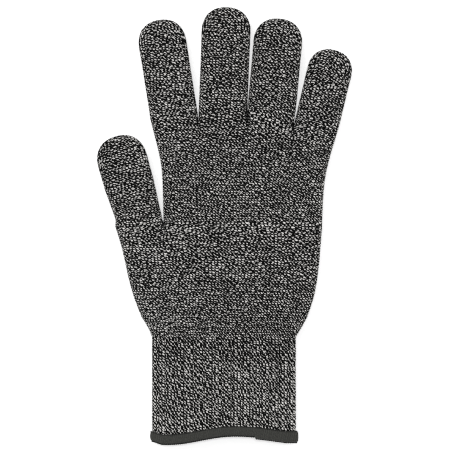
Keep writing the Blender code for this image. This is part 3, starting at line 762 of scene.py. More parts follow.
class Graph:
    """Small helper that adds and links shader nodes."""

    def __init__(self, tree):
        """A helper on this node tree."""
        self.tree = tree

    def node(self, kind, **settings):
        """A new node with these settings."""
        made = self.tree.nodes.new(kind)
        for key, value in settings.items():
            setattr(made, key, value)
        return made

    def link(self, out, into):
        """Links an output to an input."""
        self.tree.links.new(out, into)

    def math(self, operation, a, b=None):
        """The operation on one or two values; each is a socket or a number."""
        made = self.node("ShaderNodeMath", operation=operation)
        for socket, value in zip(made.inputs, (a, b)):
            if value is None:
                continue
            if isinstance(value, (int, float)):
                socket.default_value = value
            else:
                self.link(value, socket)
        return made.outputs[0]

    def ramp(self, value, low, high, out_low=0.0, out_high=1.0):
        """A smooth step from out_low to out_high while the value goes from low to high."""
        made = self.node("ShaderNodeMapRange", interpolation_type="SMOOTHSTEP")
        self.link(value, made.inputs["Value"])
        limits = {"From Min": low, "From Max": high, "To Min": out_low, "To Max": out_high}
        for name, number in limits.items():
            made.inputs[name].default_value = number
        return made.outputs["Result"]

    def mix(self, factor, a, b):
        """Colour a turning into colour b; each is a socket or three numbers."""
        made = self.node("ShaderNodeMix", data_type="RGBA")
        self.link(factor, made.inputs[0])
        for index, value in ((6, a), (7, b)):
            if isinstance(value, tuple):
                made.inputs[index].default_value = (*value, 1.0)
            else:
                self.link(value, made.inputs[index])
        return made.outputs[2]

    def scaled(self, colour, factor):
        """A colour, as a socket or three numbers, times a factor."""
        made = self.node("ShaderNodeVectorMath", operation="SCALE")
        if isinstance(colour, tuple):
            made.inputs[0].default_value = colour
        else:
            self.link(colour, made.inputs[0])
        self.link(factor, made.inputs["Scale"])
        return made.outputs[0]

    def parts(self, vector):
        """The outputs X, Y and Z of a vector."""
        made = self.node("ShaderNodeSeparateXYZ")
        self.link(vector, made.inputs[0])
        return made.outputs

    def wave(self, turns):
        """Sine of 2 pi times the turns."""
        return self.math("SINE", self.math("MULTIPLY", turns, 2 * math.pi))

    def yarn(self):
        """The yarn coordinates: turns along the yarn and place around it."""
        return self.node("ShaderNodeUVMap", uv_map="Yarn").outputs["UV"]

    def noise(self, vector, scale, detail=2.0, roughness=0.5):
        """Noise from 0 to 1 at a vector."""
        made = self.node("ShaderNodeTexNoise", noise_dimensions="3D")
        made.inputs["Scale"].default_value = scale
        made.inputs["Detail"].default_value = detail
        made.inputs["Roughness"].default_value = roughness
        self.link(vector, made.inputs["Vector"])
        return made.outputs["Fac"]

    def stretched(self, vector, x, y, z):
        """A vector times x, y and z."""
        made = self.node("ShaderNodeMapping")
        made.inputs["Scale"].default_value = (x, y, z)
        self.link(vector, made.inputs["Vector"])
        return made.outputs["Vector"]


def two_ply_group():
    """Colour and height of a twisted two-ply yarn from (turns, around).

    The sine of turns minus around tells the light ply from the dark one; hairs and slow changes push it.
    """
    group = bpy.data.node_groups.get("Two Ply Yarn")
    if group:
        return group
    group = bpy.data.node_groups.new("Two Ply Yarn", "ShaderNodeTree")
    group_socket(group, "Yarn", "NodeSocketVector", "INPUT")
    group_socket(group, "Dark Ply", "NodeSocketColor", "INPUT", (0.01, 0.01, 0.01, 1))
    group_socket(group, "Light Ply", "NodeSocketColor", "INPUT", (0.6, 0.6, 0.6, 1))
    group_socket(group, "Light Share", "NodeSocketFloat", "INPUT", -0.3)
    group_socket(group, "Hairiness", "NodeSocketFloat", "INPUT", 0.5)
    group_socket(group, "Color", "NodeSocketColor", "OUTPUT")
    group_socket(group, "Height", "NodeSocketFloat", "OUTPUT")
    group_socket(group, "Ply", "NodeSocketFloat", "OUTPUT")
    g = Graph(group)
    given, result = g.node("NodeGroupInput"), g.node("NodeGroupOutput")
    split = g.parts(given.outputs["Yarn"])
    wave = g.wave(g.math("SUBTRACT", split["X"], split["Y"]))
    along = g.node("ShaderNodeCombineXYZ")
    g.link(split["X"], along.inputs["X"])
    slow = g.noise(along.outputs[0], 0.55, 2.0)
    quick = g.noise(along.outputs[0], 6.0, 1.0)
    hair = g.noise(g.stretched(given.outputs["Yarn"], 3.0, 30.0, 1.0), 1.0, 2.0, 0.6)
    hairy = g.math("MULTIPLY", g.math("SUBTRACT", hair, 0.5), given.outputs["Hairiness"])
    pushed = g.math("ADD", g.math("ADD", wave, hairy), given.outputs["Light Share"])
    pushed = g.math("ADD", pushed, g.math("MULTIPLY", g.math("SUBTRACT", slow, 0.5), 1.6))
    ply = g.ramp(pushed, -0.4, 0.4)
    tone = g.math("MULTIPLY", g.ramp(slow, 0.25, 0.75, 0.62, 1.22), g.ramp(quick, 0.2, 0.8, 0.65, 1.3))
    tone = g.math("MULTIPLY", tone, g.ramp(hair, 0.2, 0.8, 0.8, 1.15))
    colour = g.mix(ply, given.outputs["Dark Ply"], given.outputs["Light Ply"])
    g.link(g.scaled(colour, tone), result.inputs["Color"])
    rounded = g.math("POWER", g.math("ABSOLUTE", wave), 0.5)
    g.link(g.math("ADD", rounded, g.math("MULTIPLY", hair, 0.5)), result.inputs["Height"])
    g.link(ply, result.inputs["Ply"])
    return group


def principled(name, roughness, sheen=0.0):
    """A new material with hardly any gloss, its shader and a graph on its nodes."""
    material = bpy.data.materials.new(name)
    material.use_nodes = True
    shader = material.node_tree.nodes["Principled BSDF"]
    shader.inputs["Roughness"].default_value = roughness
    shader.inputs["Sheen Weight"].default_value = sheen
    shader.inputs["Specular IOR Level"].default_value = 0.05
    return material, shader, Graph(material.node_tree)


def bumped(g, shader, height, strength, distance):
    """Bumps a shader's normal by a height."""
    bump = g.node("ShaderNodeBump")
    bump.inputs["Strength"].default_value = strength
    bump.inputs["Distance"].default_value = distance
    g.link(height, bump.inputs["Height"])
    g.link(bump.outputs["Normal"], shader.inputs["Normal"])


def yarn_material(name, light_share=-0.66):
    """Marled yarn: black ply twisted with a light grey one, soft and hairy."""
    found = bpy.data.materials.get(name)
    if found:
        return found
    colours = bpy.context.scene.glove_yarn
    material, shader, g = principled(name, 0.85, 0.01)
    ply = g.node("ShaderNodeGroup", node_tree=two_ply_group())
    g.link(g.yarn(), ply.inputs["Yarn"])
    ply.inputs["Dark Ply"].default_value = (*colours.dark, 1)
    ply.inputs["Light Ply"].default_value = (*colours.light, 1)
    ply.inputs["Hairiness"].default_value = 0.7
    place = g.node("ShaderNodeTexCoord")
    patch = g.noise(g.stretched(place.outputs["Object"], 0.45, 1.7, 1.0), 190.0, 3.0, 0.6)
    g.link(g.ramp(patch, 0.25, 0.75, light_share - 0.08, light_share + 0.08), ply.inputs["Light Share"])
    toned = g.scaled(ply.outputs["Color"], g.ramp(patch, 0.28, 0.72, 0.93, 1.07))
    g.link(toned, shader.inputs["Base Color"])
    g.link(g.ramp(ply.outputs["Ply"], 0.0, 1.0, 0.92, 0.74), shader.inputs["Roughness"])
    bumped(g, shader, ply.outputs["Height"], 0.5, 0.12 * MM)
    return material


def shaded_ground_material():
    """The fabric's ground under and behind the stitches: dark loops in rows, flecked with light yarn, both
    darkened as painted shade.
    """
    found = bpy.data.materials.get("Knit Ground")
    if found:
        return found
    colours = bpy.context.scene.glove_yarn
    material, shader, g = principled("Knit Ground", 0.95)
    uv = g.yarn()
    split = g.parts(uv)
    rows, loops = g.wave(split["Y"]), g.wave(split["X"])
    fleck = g.noise(g.stretched(uv, 1.3, 1.1, 1.0), 1.6, 3.0, 0.7)
    mask = g.math("MULTIPLY", g.ramp(fleck, 0.50, 0.62), g.ramp(rows, -0.2, 0.7))
    # painted shade: the plies' colours at 0.7 and 0.3 make the ground darker than the yarn, standing for the
    # shade between the stitches
    dark, light = tuple(c * 0.7 for c in colours.dark), tuple(c * 0.30 for c in colours.light)
    g.link(g.mix(mask, dark, light), shader.inputs["Base Color"])
    g.link(g.ramp(fleck, 0.3, 0.7, 0.98, 0.85), shader.inputs["Roughness"])
    bumped(g, shader, g.math("ADD", rows, g.math("MULTIPLY", loops, 0.4)), 0.8, 0.2 * MM)
    return material


def thread_material(name, colour, shade=1.0):
    """Textured sewing thread: filaments twisted along it, its colour changing slightly from loop to loop."""
    found = bpy.data.materials.get(name)
    if found:
        return found
    material, shader, g = principled(name, 0.7, 0.1)
    uv = g.yarn()
    split = g.parts(uv)
    turn = g.math("ADD", g.math("MULTIPLY", split["X"], 3.0), g.math("MULTIPLY", split["Y"], 6.0))
    strands = g.wave(turn)
    along = g.noise(g.stretched(uv, 1.4, 3.0, 1.0), 2.0, 3.0, 0.6)
    tone = g.math("MULTIPLY", g.ramp(strands, -1.0, 1.0, 0.8, 1.15), g.ramp(along, 0.25, 0.75, 0.7, 1.3))
    g.link(g.scaled(tuple(c * shade for c in colour), tone), shader.inputs["Base Color"])
    g.link(g.ramp(along, 0.2, 0.8, 0.62, 0.85), shader.inputs["Roughness"])
    bumped(g, shader, g.math("ADD", strands, g.math("MULTIPLY", along, 1.5)), 0.4, 0.06 * MM)
    return material


def knit_materials(ribbed=False):
    """The yarn's material and the ground's, in the order of a piece's material numbers."""
    yarn = yarn_material("Marled Rib Yarn", -0.45) if ribbed else yarn_material("Marled Yarn")
    return [yarn, shaded_ground_material()]


# ------------------------------------------------------------------ knitted pieces
GROUND, LINING = 0.62 * MM, 1.25 * MM  # how deep the ground's two faces lie under the outer face


def half_rows(rings, upper):
    """One sheet of closed rings as open rows: the upper one left to right, or the lower one right to left."""
    half = rings.shape[1] // 2
    return rings[:, : half + 1] if upper else np.concatenate([rings[:, half:], rings[:, :1]], axis=1)


def sheet_stitches(rings, upper, wales):
    """Frames of evenly spaced stitches over one sheet of a tube."""
    grid = even_rows(resample(half_rows(rings, upper), wales), knit().course_pitch)
    return stitch_frames(softened(grid, np.full(grid.shape[:2], upper)))


def soft_skins(outer, inner):
    """Folds and waves on the upper half of closed rings."""
    half = outer.shape[1] // 2
    upper = np.zeros(outer.shape[:2], bool)
    upper[:, 1:half] = True
    return softened(outer, upper), softened(inner, upper)


def make_palm_section(name, rings, wales, upper, replaced, start):
    """One sheet of a palm section: its stitches on a closed ground."""
    piece = Piece(name)
    stitch(piece, sheet_stitches(rings(0.0), upper, wales), wales * 2, start)
    outer, inner = half_rows(rings(GROUND), upper), half_rows(rings(LINING), upper)
    flag = np.full(outer.shape[:2], upper)
    piece.add_skin(softened(outer, flag), softened(inner, flag), GROUND_SCALE, False, False)
    piece.make(knit_materials(), replaced, body="palm")


def stall_sheet_lines(name, across, sheet, low, high, count, inset):
    """Lines along a stall from one distance to another, or to the edge of its tip where high is None."""
    end = stall_end(name, across, inset) if high is None else np.full(len(across), high)
    t = np.linspace(0, 1, count)
    t = np.sin(t * np.pi / 2) if high is None else t
    along = low + (end - low)[:, None] * t[None]
    return stall_points(name, np.repeat(across[:, None], count, 1), along, sheet, inset)


def even_places(name, wales):
    """Places across one sheet of a stall that are evenly spaced along its curved section."""
    dense = places(240)
    spots = stall_points(name, dense, np.full(len(dense), 15 * MM), 0, 0.0)
    run = lengths_along(spots[None])[0]
    return np.interp(np.linspace(0, run[-1], wales + 1), run, dense)


def make_stall_piece(name, part, low, high, root, blend, start):
    """One length of a stall: two sheets of stitches on a closed tubular ground. high None closes the tip."""
    settings = knit()
    pitch = settings.course_pitch
    piece = Piece(f"{name}_{part}_knit")
    wales = max(8, round(1.18 * STALLS[name]["width"] / settings.wale_pitch))
    across = even_places(name, wales)
    dome_from = sum(STALLS[name]["lengths"]) - STALLS[name]["width"] / 2
    straight_to = high if high is not None else dome_from - 9 * MM
    frames = []
    for sheet in (0, 1):
        s = across if sheet == 0 else across[::-1]
        if root is not None:
            rows = root_rows(name, root, sheet, wales, high)
        else:
            rows = stall_sheet_lines(name, s, sheet, low, straight_to, 24, 0.0).transpose(1, 0, 2)
        grid = even_rows(rows, pitch)
        frames.append(stitch_frames(softened(grid, np.full(grid.shape[:2], sheet == 0))))
        if high is None:
            frames.append(tip_stitches(name, s, sheet, straight_to, pitch, grid.shape[0]))
    stitch(piece, joined(frames), wales * 2, start)
    if root is None:
        rings = [stall_rings(name, low, high, inset) for inset in (GROUND, LINING)]
    else:
        rings = [root_rings(name, root, high, inset) for inset in (GROUND, LINING)]
    piece.add_skin(*soft_skins(*rings), GROUND_SCALE, True, high is None)
    piece.make(knit_materials(), [f"{name}_{part}"], blend=blend)


def tip_stitches(name, across, sheet, low, pitch, first_row):
    """Stitches of a closing tip: each wale runs to the edge with as many stitches as fit its length."""
    frames = []
    for k in range(len(across) - 1):
        three = np.array([across[k], (across[k] + across[k + 1]) / 2, across[k + 1]])
        lines = stall_sheet_lines(name, three, sheet, low, None, 40, 0.0)
        count = max(1, round(lengths_along(lines[1:2])[0, -1] / pitch))
        grid = resample(lines, count)[[0, 2]].transpose(1, 0, 2)
        made = stitch_frames(softened(grid, np.full(grid.shape[:2], sheet == 0)))
        made["row"] = made["row"] + first_row
        made["column"] = made["column"] + k
        frames.append(made)
    return joined(frames)


def stall_rings(name, low, high, inset):
    """Closed rings of a stall's ground, from one distance to another or to its closed tip."""
    s = places(FINGER_SPANS)
    count = max(4, round(((high or sum(STALLS[name]["lengths"])) - low) / (1.4 * MM)))
    upper = stall_sheet_lines(name, s, 0, low, high, count, inset)
    lower = stall_sheet_lines(name, s, 1, low, high, count, inset)
    rings = np.array([ring_of(upper[:, k], lower[:, k]) for k in range(count)])
    if high is None:
        half = rings.shape[1] // 2
        flat = rings[-1]
        middle = (flat[: half + 1] + np.concatenate([flat[half:], flat[:1]])[::-1]) / 2
        flat[: half + 1] = middle
        flat[half:] = middle[half:0:-1]
    return rings


def root_rings(name, root, high, inset):
    """Closed rings from a stall's root on the palm, through its bend line, to a distance along it."""
    s = places(FINGER_SPANS)
    rings = []
    for along in np.linspace(0.0, high, 9):
        upper = stall_points(name, s, np.full(len(s), along), 0, inset)
        lower = stall_points(name, s, np.full(len(s), along), 1, inset)
        rings.append(ring_of(upper, lower))
    first = root(inset)
    between = [first + (rings[0] - first) * t for t in (0.0, 0.25, 0.5, 0.75)]
    return np.array(between + rings)


def root_rows(name, root, sheet, wales, high):
    """The same surface as open rows of one sheet, divided evenly into wales."""
    rings = root_rings(name, root, high, 0.0)
    return resample(half_rows(rings, sheet == 0), wales)


def cut_ring(whole, number):
    """The part of a palm's closed ring that belongs to one of its tubes, closed again."""
    half = whole.shape[0] // 2
    upper = whole[: half + 1]
    lower = np.concatenate([whole[half:], whole[:1]])[::-1]
    cut = slice(number * FINGER_SPANS, (number + 1) * FINGER_SPANS + 1)
    return ring_of(upper[cut], lower[cut])


def finger_root(number):
    """A function that gives the ring of the palm's top edge that belongs to one finger."""

    def ring(inset):
        """That ring, moved inwards."""
        return cut_ring(upper_palm_rings(inset)[-1], number)

    return ring


def thumb_root(inset):
    """The ring of the five-finger palm's top edge that belongs to the thumb."""
    return cut_ring(lower_palm_rings(inset)[-1], 0)


def bend_span(joint_name, before, after):
    """The points before and after a bend line, square to its axis."""
    joint = JOINTS[joint_name]
    spot = np.array(joint["pos_m"])
    forward = np.array([joint["axis"][1], -joint["axis"][0], 0.0])
    if forward[1] < 0:
        forward = -forward
    return tuple(spot - forward * before), tuple(spot + forward * after)


# ------------------------------------------------------------------ threads
def tube(path, across, out, half_width, half_height, sides=6):
    """A closed thread along path (points, 3): its vertices, faces, corner coordinates and length.

    At each point the ring is at path + half_width cos a across + half_height sin a out, for even angles a.
    """
    count = len(path)
    angle = 2 * np.pi * np.arange(sides) / sides
    sideways = across[:, None] * (half_width * np.cos(angle))[..., None]
    outwards = out[:, None] * (half_height * np.sin(angle))[..., None]
    ring = path[:, None] + (sideways + outwards)
    verts = np.concatenate([ring.reshape(-1, 3), path[:1], path[-1:]])
    r, k = np.meshgrid(np.arange(count - 1), np.arange(sides), indexing="ij")
    r, k = r.ravel(), k.ravel()
    n = (k + 1) % sides
    a, b, c, d = r * sides + k, r * sides + n, (r + 1) * sides + n, (r + 1) * sides + k
    run = np.concatenate([[0], np.cumsum(np.linalg.norm(np.diff(path, axis=0), axis=1))])
    left, right = k / sides, (k + 1) / sides
    corners = [
        triangles((run[r], left), (run[r], right), (run[r + 1], right)),
        triangles((run[r], left), (run[r + 1], right), (run[r + 1], left)),
    ]
    k = np.arange(sides)
    n = (k + 1) % sides
    last = (count - 1) * sides
    faces = [
        np.column_stack([a, b, c]),
        np.column_stack([a, c, d]),
        np.column_stack([np.full(sides, count * sides), n, k]),
        np.column_stack([np.full(sides, count * sides + 1), last + k, last + n]),
    ]
    middle, left, right = (k + 0.5) / sides, k / sides, (k + 1) / sides
    corners.append(triangles((0, middle), (0, right), (0, left)))
    corners.append(triangles((run[-1], middle), (run[-1], left), (run[-1], right)))
    return verts, np.concatenate(faces), np.concatenate(corners), run[-1]


def add_threads(piece, made, material=0):
    """Adds a list of tubes; each gets its own bake cell, and its twist starts elsewhere."""
    verts, faces, yarn, cells, local = [], [], [], [], []
    shift = 0
    for number, (v, f, corners, total) in enumerate(made):
        verts.append(v)
        faces.append(f + shift)
        turned = corners.copy()
        turned[..., 0] = corners[..., 0] / twist() + number * 0.618
        yarn.append(turned)
        cells.append(np.full(len(f), number))
        place = corners.copy()
        place[..., 0] = corners[..., 1]
        place[..., 1] = corners[..., 0] / total
        local.append(place)
        shift += len(v)
    layout = (np.concatenate(cells), max(FEWEST_BEADS, len(made)), np.concatenate(local))
    piece.add(np.concatenate(verts), np.concatenate(faces), material, np.concatenate(yarn), layout)


def hem_point(q, up, outward):
    """Points of the hem and the direction out of the fabric at each.

    q goes from 0 to 1 round the cuff's section by its length, up is the distance from the fabric's arched
    end, and outward is the distance from the outer face along the section's normal.
    """
    _, flat = cuff_section()
    flat = np.concatenate([flat, flat[:1]])
    run = np.concatenate([[0], np.cumsum(np.linalg.norm(np.diff(flat, axis=0), axis=1))])
    at = np.mod(np.asarray(q, float), 1.0) * run[-1]
    x, z = np.interp(at, run, flat[:, 0]), np.interp(at, run, flat[:, 1])
    ahead, behind = np.mod(at + 0.8 * MM, run[-1]), np.mod(at - 0.8 * MM, run[-1])
    dx = np.interp(ahead, run, flat[:, 0]) - np.interp(behind, run, flat[:, 0])
    dz = np.interp(ahead, run, flat[:, 1]) - np.interp(behind, run, flat[:, 1])
    size = np.hypot(dx, dz)
    nx, nz = -dz / size, dx / size
    y = -CUFF_LENGTH + up + hem_arch(np.clip(x / CUFF_HALF_WIDTH, -1, 1))
    point = np.stack([x + nx * outward + WRIST[0], y + WRIST[1], z + nz * outward], -1)
    out = np.stack([nx, np.zeros_like(nx), nz], -1)
    return point, out


def wrap_strand(q, up, outward, half_width, half_height):
    """One strand of the overlock stitch along given places of the hem, as a flattened closed thread."""
    path, out = hem_point(q, up, outward)
    run = np.gradient(path, axis=0)
    run /= np.linalg.norm(run, axis=1)[:, None]
    across = np.cross(out, run)
    across /= np.linalg.norm(across, axis=1)[:, None] + 1e-12
    lift = np.cross(run, across)
    return tube(path, across, lift, half_width, half_height)


def hem_strands(q, up, outward, half_width, half_height):
    """A strand for each stitch of the hem; q says where it runs, counted in stitches from its own start."""
    shifted = [(k + q) / HEM_STITCHES for k in range(HEM_STITCHES)]
    return [wrap_strand(place, up, outward, half_width, half_height) for place in shifted]


def band_ring(up, outward):
    """A ring round the hem, up from the fabric's end and outward from its outer face."""
    return hem_point(np.arange(160) / 160, np.full(160, up), outward)[0]


# ------------------------------------------------------------------ operators
class GLOVE_OT_stage(bpy.types.Operator):
    """Builds the floor, the soft light and the camera above the glove."""

    bl_idname = "glove.stage"
    bl_label = "Stage"

    def execute(self, context):
        settings = context.scene.glove_stage
        mesh = bpy.data.meshes.new("floor")
        corners = ((-1, -1), (1, -1), (1, 1), (-1, 1))
        spots = [(x * FLOOR_HALF, y * FLOOR_HALF, -FLOOR_DROP) for x, y in corners]
        mesh.from_pydata(spots, [], [(0, 1, 2, 3)])
        floor = bpy.data.objects.new("floor", mesh)
        context.scene.collection.objects.link(floor)
        material, shader, _ = principled("Pale Floor", 0.9)
        shader.inputs["Base Color"].default_value = (*settings.floor, 1)
        mesh.materials.append(material)
        world = bpy.data.worlds.new("Soft Studio")
        world.use_nodes = True
        sky = world.node_tree.nodes["Background"].inputs
        sky["Color"].default_value = (1, 1, 1, 1)
        sky["Strength"].default_value = settings.light
        context.scene.world = world
        for name, place, side, power in (
            ("top", (0.0, 0.05, 2.2), 0.4, 36.0),
            ("key", (-0.7, 0.9, 1.5), 0.9, 8.0),
        ):
            lamp = bpy.data.lights.new(name, "AREA")
            lamp.energy = power
            lamp.size = side
            obj = bpy.data.objects.new(name, lamp)
            obj.location = place
            direction = -np.array(place)
            obj.rotation_euler = (
                math.atan2(math.hypot(direction[0], direction[1]), -direction[2]),
                0,
                math.atan2(direction[0], -direction[1]) + math.pi,
            )
            context.scene.collection.objects.link(obj)
        camera = bpy.data.cameras.new("camera")
        obj = bpy.data.objects.new("camera", camera)
        obj.location = (0.0003, 0.0003, settings.distance + 0.007)
        camera.sensor_width = 36
        camera.lens = 36 * settings.distance / settings.framed
        camera.clip_end = 20
        context.scene.collection.objects.link(obj)
        context.scene.camera = obj
        context.scene.view_settings.view_transform = "Standard"
        context.scene.cycles.filter_width = 1.0
        context.scene.cycles.denoising_prefilter = "NONE"
        return {"FINISHED"}


class GLOVE_OT_palm(bpy.types.Operator):
    """Knits the four-finger palm and the five-finger palm, back and front."""

    bl_idname = "glove.palm"
    bl_label = "Palm"

    def execute(self, context):
        pitch = knit().wale_pitch

        def above_wrist(inset):
            """The five-finger palm's rings without those of the wrist's piece."""
            return lower_palm_rings(inset)[WRIST_RINGS:]

        for name, rings, width, starts in (
            ("upper_palm", upper_palm_rings, UPPER_PALM_WIDTH, (0.4, 0.9)),
            ("lower_palm", above_wrist, LOWER_PALM_WIDTH, (1.7, 2.3)),
        ):
            wales = round(width / pitch)
            make_palm_section(f"{name}_back_knit", rings, wales, True, [name], starts[0])
            make_palm_section(f"{name}_front_knit", rings, wales, False, [name], starts[1])
        return {"FINISHED"}


class GLOVE_OT_fingers(bpy.types.Operator):
    """Knits the four fingers, each in three lengths."""

    bl_idname = "glove.fingers"
    bl_label = "Fingers"

    def execute(self, context):
        for number, name in enumerate(("index", "middle", "ring", "little")):
            base, middle, _ = STALLS[name]["lengths"]
            first, second = base * 0.56, base + middle * 0.5
            zone = min(base * 0.4, middle * 0.42)
            for part, low, high, root, bend, parent, before, after, start in (
                ("base", 0.0, first, finger_root(number), "base", "palm", 2.3 * MM, first * 0.9, 3.0),
                ("middle", first, second, None, "middle", f"{name}_base", zone, zone, 3.3),
                ("tip", second, None, None, "end", f"{name}_middle", zone * 0.9, zone * 0.9, 3.6),
            ):
                span = bend_span(f"{name}_{bend}_bend", before, after)
                blend = (parent, f"{name}_{part}", *span)
                make_stall_piece(name, part, low, high, root, blend, start + number)
        return {"FINISHED"}


class GLOVE_OT_thumb(bpy.types.Operator):
    """Knits the thumb in two lengths."""

    bl_idname = "glove.thumb"
    bl_label = "Thumb"

    def execute(self, context):
        base, _ = STALLS["thumb"]["lengths"]
        first = base * 0.55
        span = bend_span("thumb_base_bend", 1.6 * MM, first * 0.85)
        make_stall_piece("thumb", "base", 0.0, first, thumb_root, ("palm", "thumb_base", *span), 8.1)
        span = bend_span("thumb_end_bend", 7.5 * MM, 7.5 * MM)
        make_stall_piece("thumb", "tip", first, None, None, ("thumb_base", "thumb_tip", *span), 8.7)
        return {"FINISHED"}


class GLOVE_OT_cuff(bpy.types.Operator):
    """Knits the wrist, where the palm turns into the cuff, and the ribbed cuff."""

    bl_idname = "glove.cuff"
    bl_label = "Cuff"

    def execute(self, context):
        pitch = knit().wale_pitch
        plain, ribs = round(LOWER_PALM_WIDTH / pitch), round(RIB_WIDTH / pitch)
        piece = Piece("wrist_knit")
        for sheet in (True, False):
            frames = sheet_stitches(lower_palm_rings(0.0)[: WRIST_RINGS + 1], sheet, plain)
            stitch(piece, frames, plain * 2, 9.3 + sheet)
            self.ribbed(piece, cuff_rings(0.0)[CUFF_SPLIT:], sheet, ribs, 9.8 + sheet)
        skins = []
        for depth in (GROUND, LINING):
            wrist = lower_palm_rings(depth)[: WRIST_RINGS + 1]
            skins.append(np.concatenate([cuff_rings(depth)[CUFF_SPLIT:-1], wrist]))
        piece.add_skin(*soft_skins(*skins), GROUND_SCALE, True, False)
        before = (WRIST[0], WRIST[1] + 8 * MM, WRIST[2])
        after = (WRIST[0], WRIST[1] - 8 * MM, WRIST[2])
        blend = ("palm", "cuff", before, after)
        piece.make(knit_materials(), ["cuff_tube"], blend=blend)
        piece = Piece("cuff_knit")
        for sheet in (True, False):
            self.ribbed(piece, cuff_rings(0.0)[: CUFF_SPLIT + 1], sheet, ribs, 10.4 + sheet)
        skins = [cuff_rings(depth)[: CUFF_SPLIT + 1] for depth in (GROUND, LINING)]
        piece.add_skin(*soft_skins(*skins), GROUND_SCALE, True, False)
        piece.make(knit_materials(True), ["cuff_tube"], body="cuff")
        return {"FINISHED"}

    def ribbed(self, piece, rings, sheet, wales, start):
        """Rib: every few stitches one wale sinks into a furrow."""
        settings = knit()
        frames = sheet_stitches(rings, sheet, wales)
        furrow = np.mod(frames["column"], settings.rib_wales) == settings.rib_wales - 1
        sunk = np.where(furrow, settings.rib_depth, 0.0)[:, None]
        frames["across"] = frames["across"] * np.where(furrow, 0.8, 1.1)[:, None]
        stitch(piece, frames, wales * 2, start, sunk, RIB_LEGS)


class GLOVE_OT_hem(bpy.types.Operator):
    """Sews the overlocked hem: two loopers over a band, the needle thread, the edge's knots and the lap."""

    bl_idname = "glove.hem"
    bl_label = "Hem"

    def execute(self, context):
        colours = context.scene.glove_yarn
        thread = thread_material("Overlock Thread", colours.thread)
        dark = thread_material("Overlock Shadow", colours.thread, 0.35)
        steps, short = np.linspace(0, 1, 9), np.linspace(0, 1, 5)
        edge = -0.55 * MM

        up = (HEM_DEPTH + 0.3 * MM) * (1 - steps) + edge * steps
        outward = (0.26 + 0.48 * np.sin(np.pi * steps) ** 0.7) * MM - 0.7 * MM * smooth((steps - 0.88) / 0.12)
        piece = Piece("hem_outer_threads")
        add_threads(piece, hem_strands(0.9 * steps, up, outward, 0.62 * MM, 0.30 * MM))
        outer = ((-0.42, -0.55), (-0.2, 0.22), (2, 0.30), (HEM_DEPTH / MM, 0.28))
        inner = ((-0.15, -0.55), (0.0, 0.02), (2, 0.04), (HEM_DEPTH / MM, 0.04))
        bands = [np.array([band_ring(y * MM, off * MM) for y, off in band]) for band in (outer, inner)]
        piece.add_skin(*bands, (1.0, 1.0), True, False)
        piece.make([thread, dark], ["hem_outer_looper"], body="cuff")

        up = (HEM_DEPTH - 0.4 * MM) * (1 - steps) + edge * steps
        outward = (-1.62 - 0.12 * np.sin(np.pi * steps)) * MM + 0.8 * MM * smooth((steps - 0.86) / 0.14)
        piece = Piece("hem_inner_threads")
        add_threads(piece, hem_strands(0.45 + 0.8 * steps, up, outward, 0.60 * MM, 0.26 * MM))
        piece.make([thread], ["hem_inner_looper"], body="cuff")

        up = np.full(5, HEM_DEPTH + 0.15 * MM)
        outward = 0.62 * MM + 0.16 * MM * np.sin(np.pi * short)
        piece = Piece("hem_needle_stitches")
        add_threads(piece, hem_strands(np.linspace(0.08, 0.92, 5), up, outward, 0.26 * MM, 0.22 * MM))
        piece.make([dark], ["hem_needle_thread"], body="cuff")

        up = -0.72 * MM - 0.3 * MM * np.sin(np.pi * short)
        outward = -0.35 * MM + 0.3 * MM * np.cos(np.pi * short)
        piece = Piece("hem_edge_knots")
        add_threads(piece, hem_strands(0.5 + np.linspace(-0.42, 0.42, 5), up, outward, 0.46 * MM, 0.44 * MM))
        piece.make([dark], [], body="cuff")
        self.lap(thread, dark)
        return {"FINISHED"}

    def lap(self, thread, dark):
        """The end of the stitching over its start: a second, lower layer at one corner, and its tail."""
        strands, knots = [], []
        steps, turn = np.linspace(0, 1, 7), np.linspace(0, 1, 5)
        up = (HEM_DEPTH - 0.4 * MM) * (1 - steps) - 1.7 * MM * steps
        outward = (0.95 + 0.15 * np.sin(np.pi * steps)) * MM - 0.5 * MM * smooth((steps - 0.8) / 0.2)
        knot_up, knot_outward = -1.8 * MM - 0.2 * MM * np.sin(np.pi * turn), np.full(5, 0.45 * MM)
        for k in range(LAP_STITCHES):
            start = LAP_START + k / HEM_STITCHES * 0.98
            q = start + 0.9 * steps / HEM_STITCHES
            strands.append(wrap_strand(q, up, outward, 0.60 * MM, 0.28 * MM))
            q = start + (0.9 + 0.8 * (turn - 0.5)) / HEM_STITCHES
            knots.append(wrap_strand(q, knot_up, knot_outward, 0.34 * MM, 0.32 * MM))
        steps = np.linspace(0, 1, 14)
        up = 1.2 * MM + 1.4 * MM * np.sin(2.2 * steps)
        outward = 0.95 * MM + 0.15 * MM * np.cos(5 * steps)
        strands.append(wrap_strand(LAP_START - 0.012 * steps, up, outward, 0.36 * MM, 0.34 * MM))
        piece = Piece("hem_lap_threads")
        add_threads(piece, strands, 0)
        add_threads(piece, knots, 1)
        piece.make([thread, dark], ["hem_lap"], body="cuff")


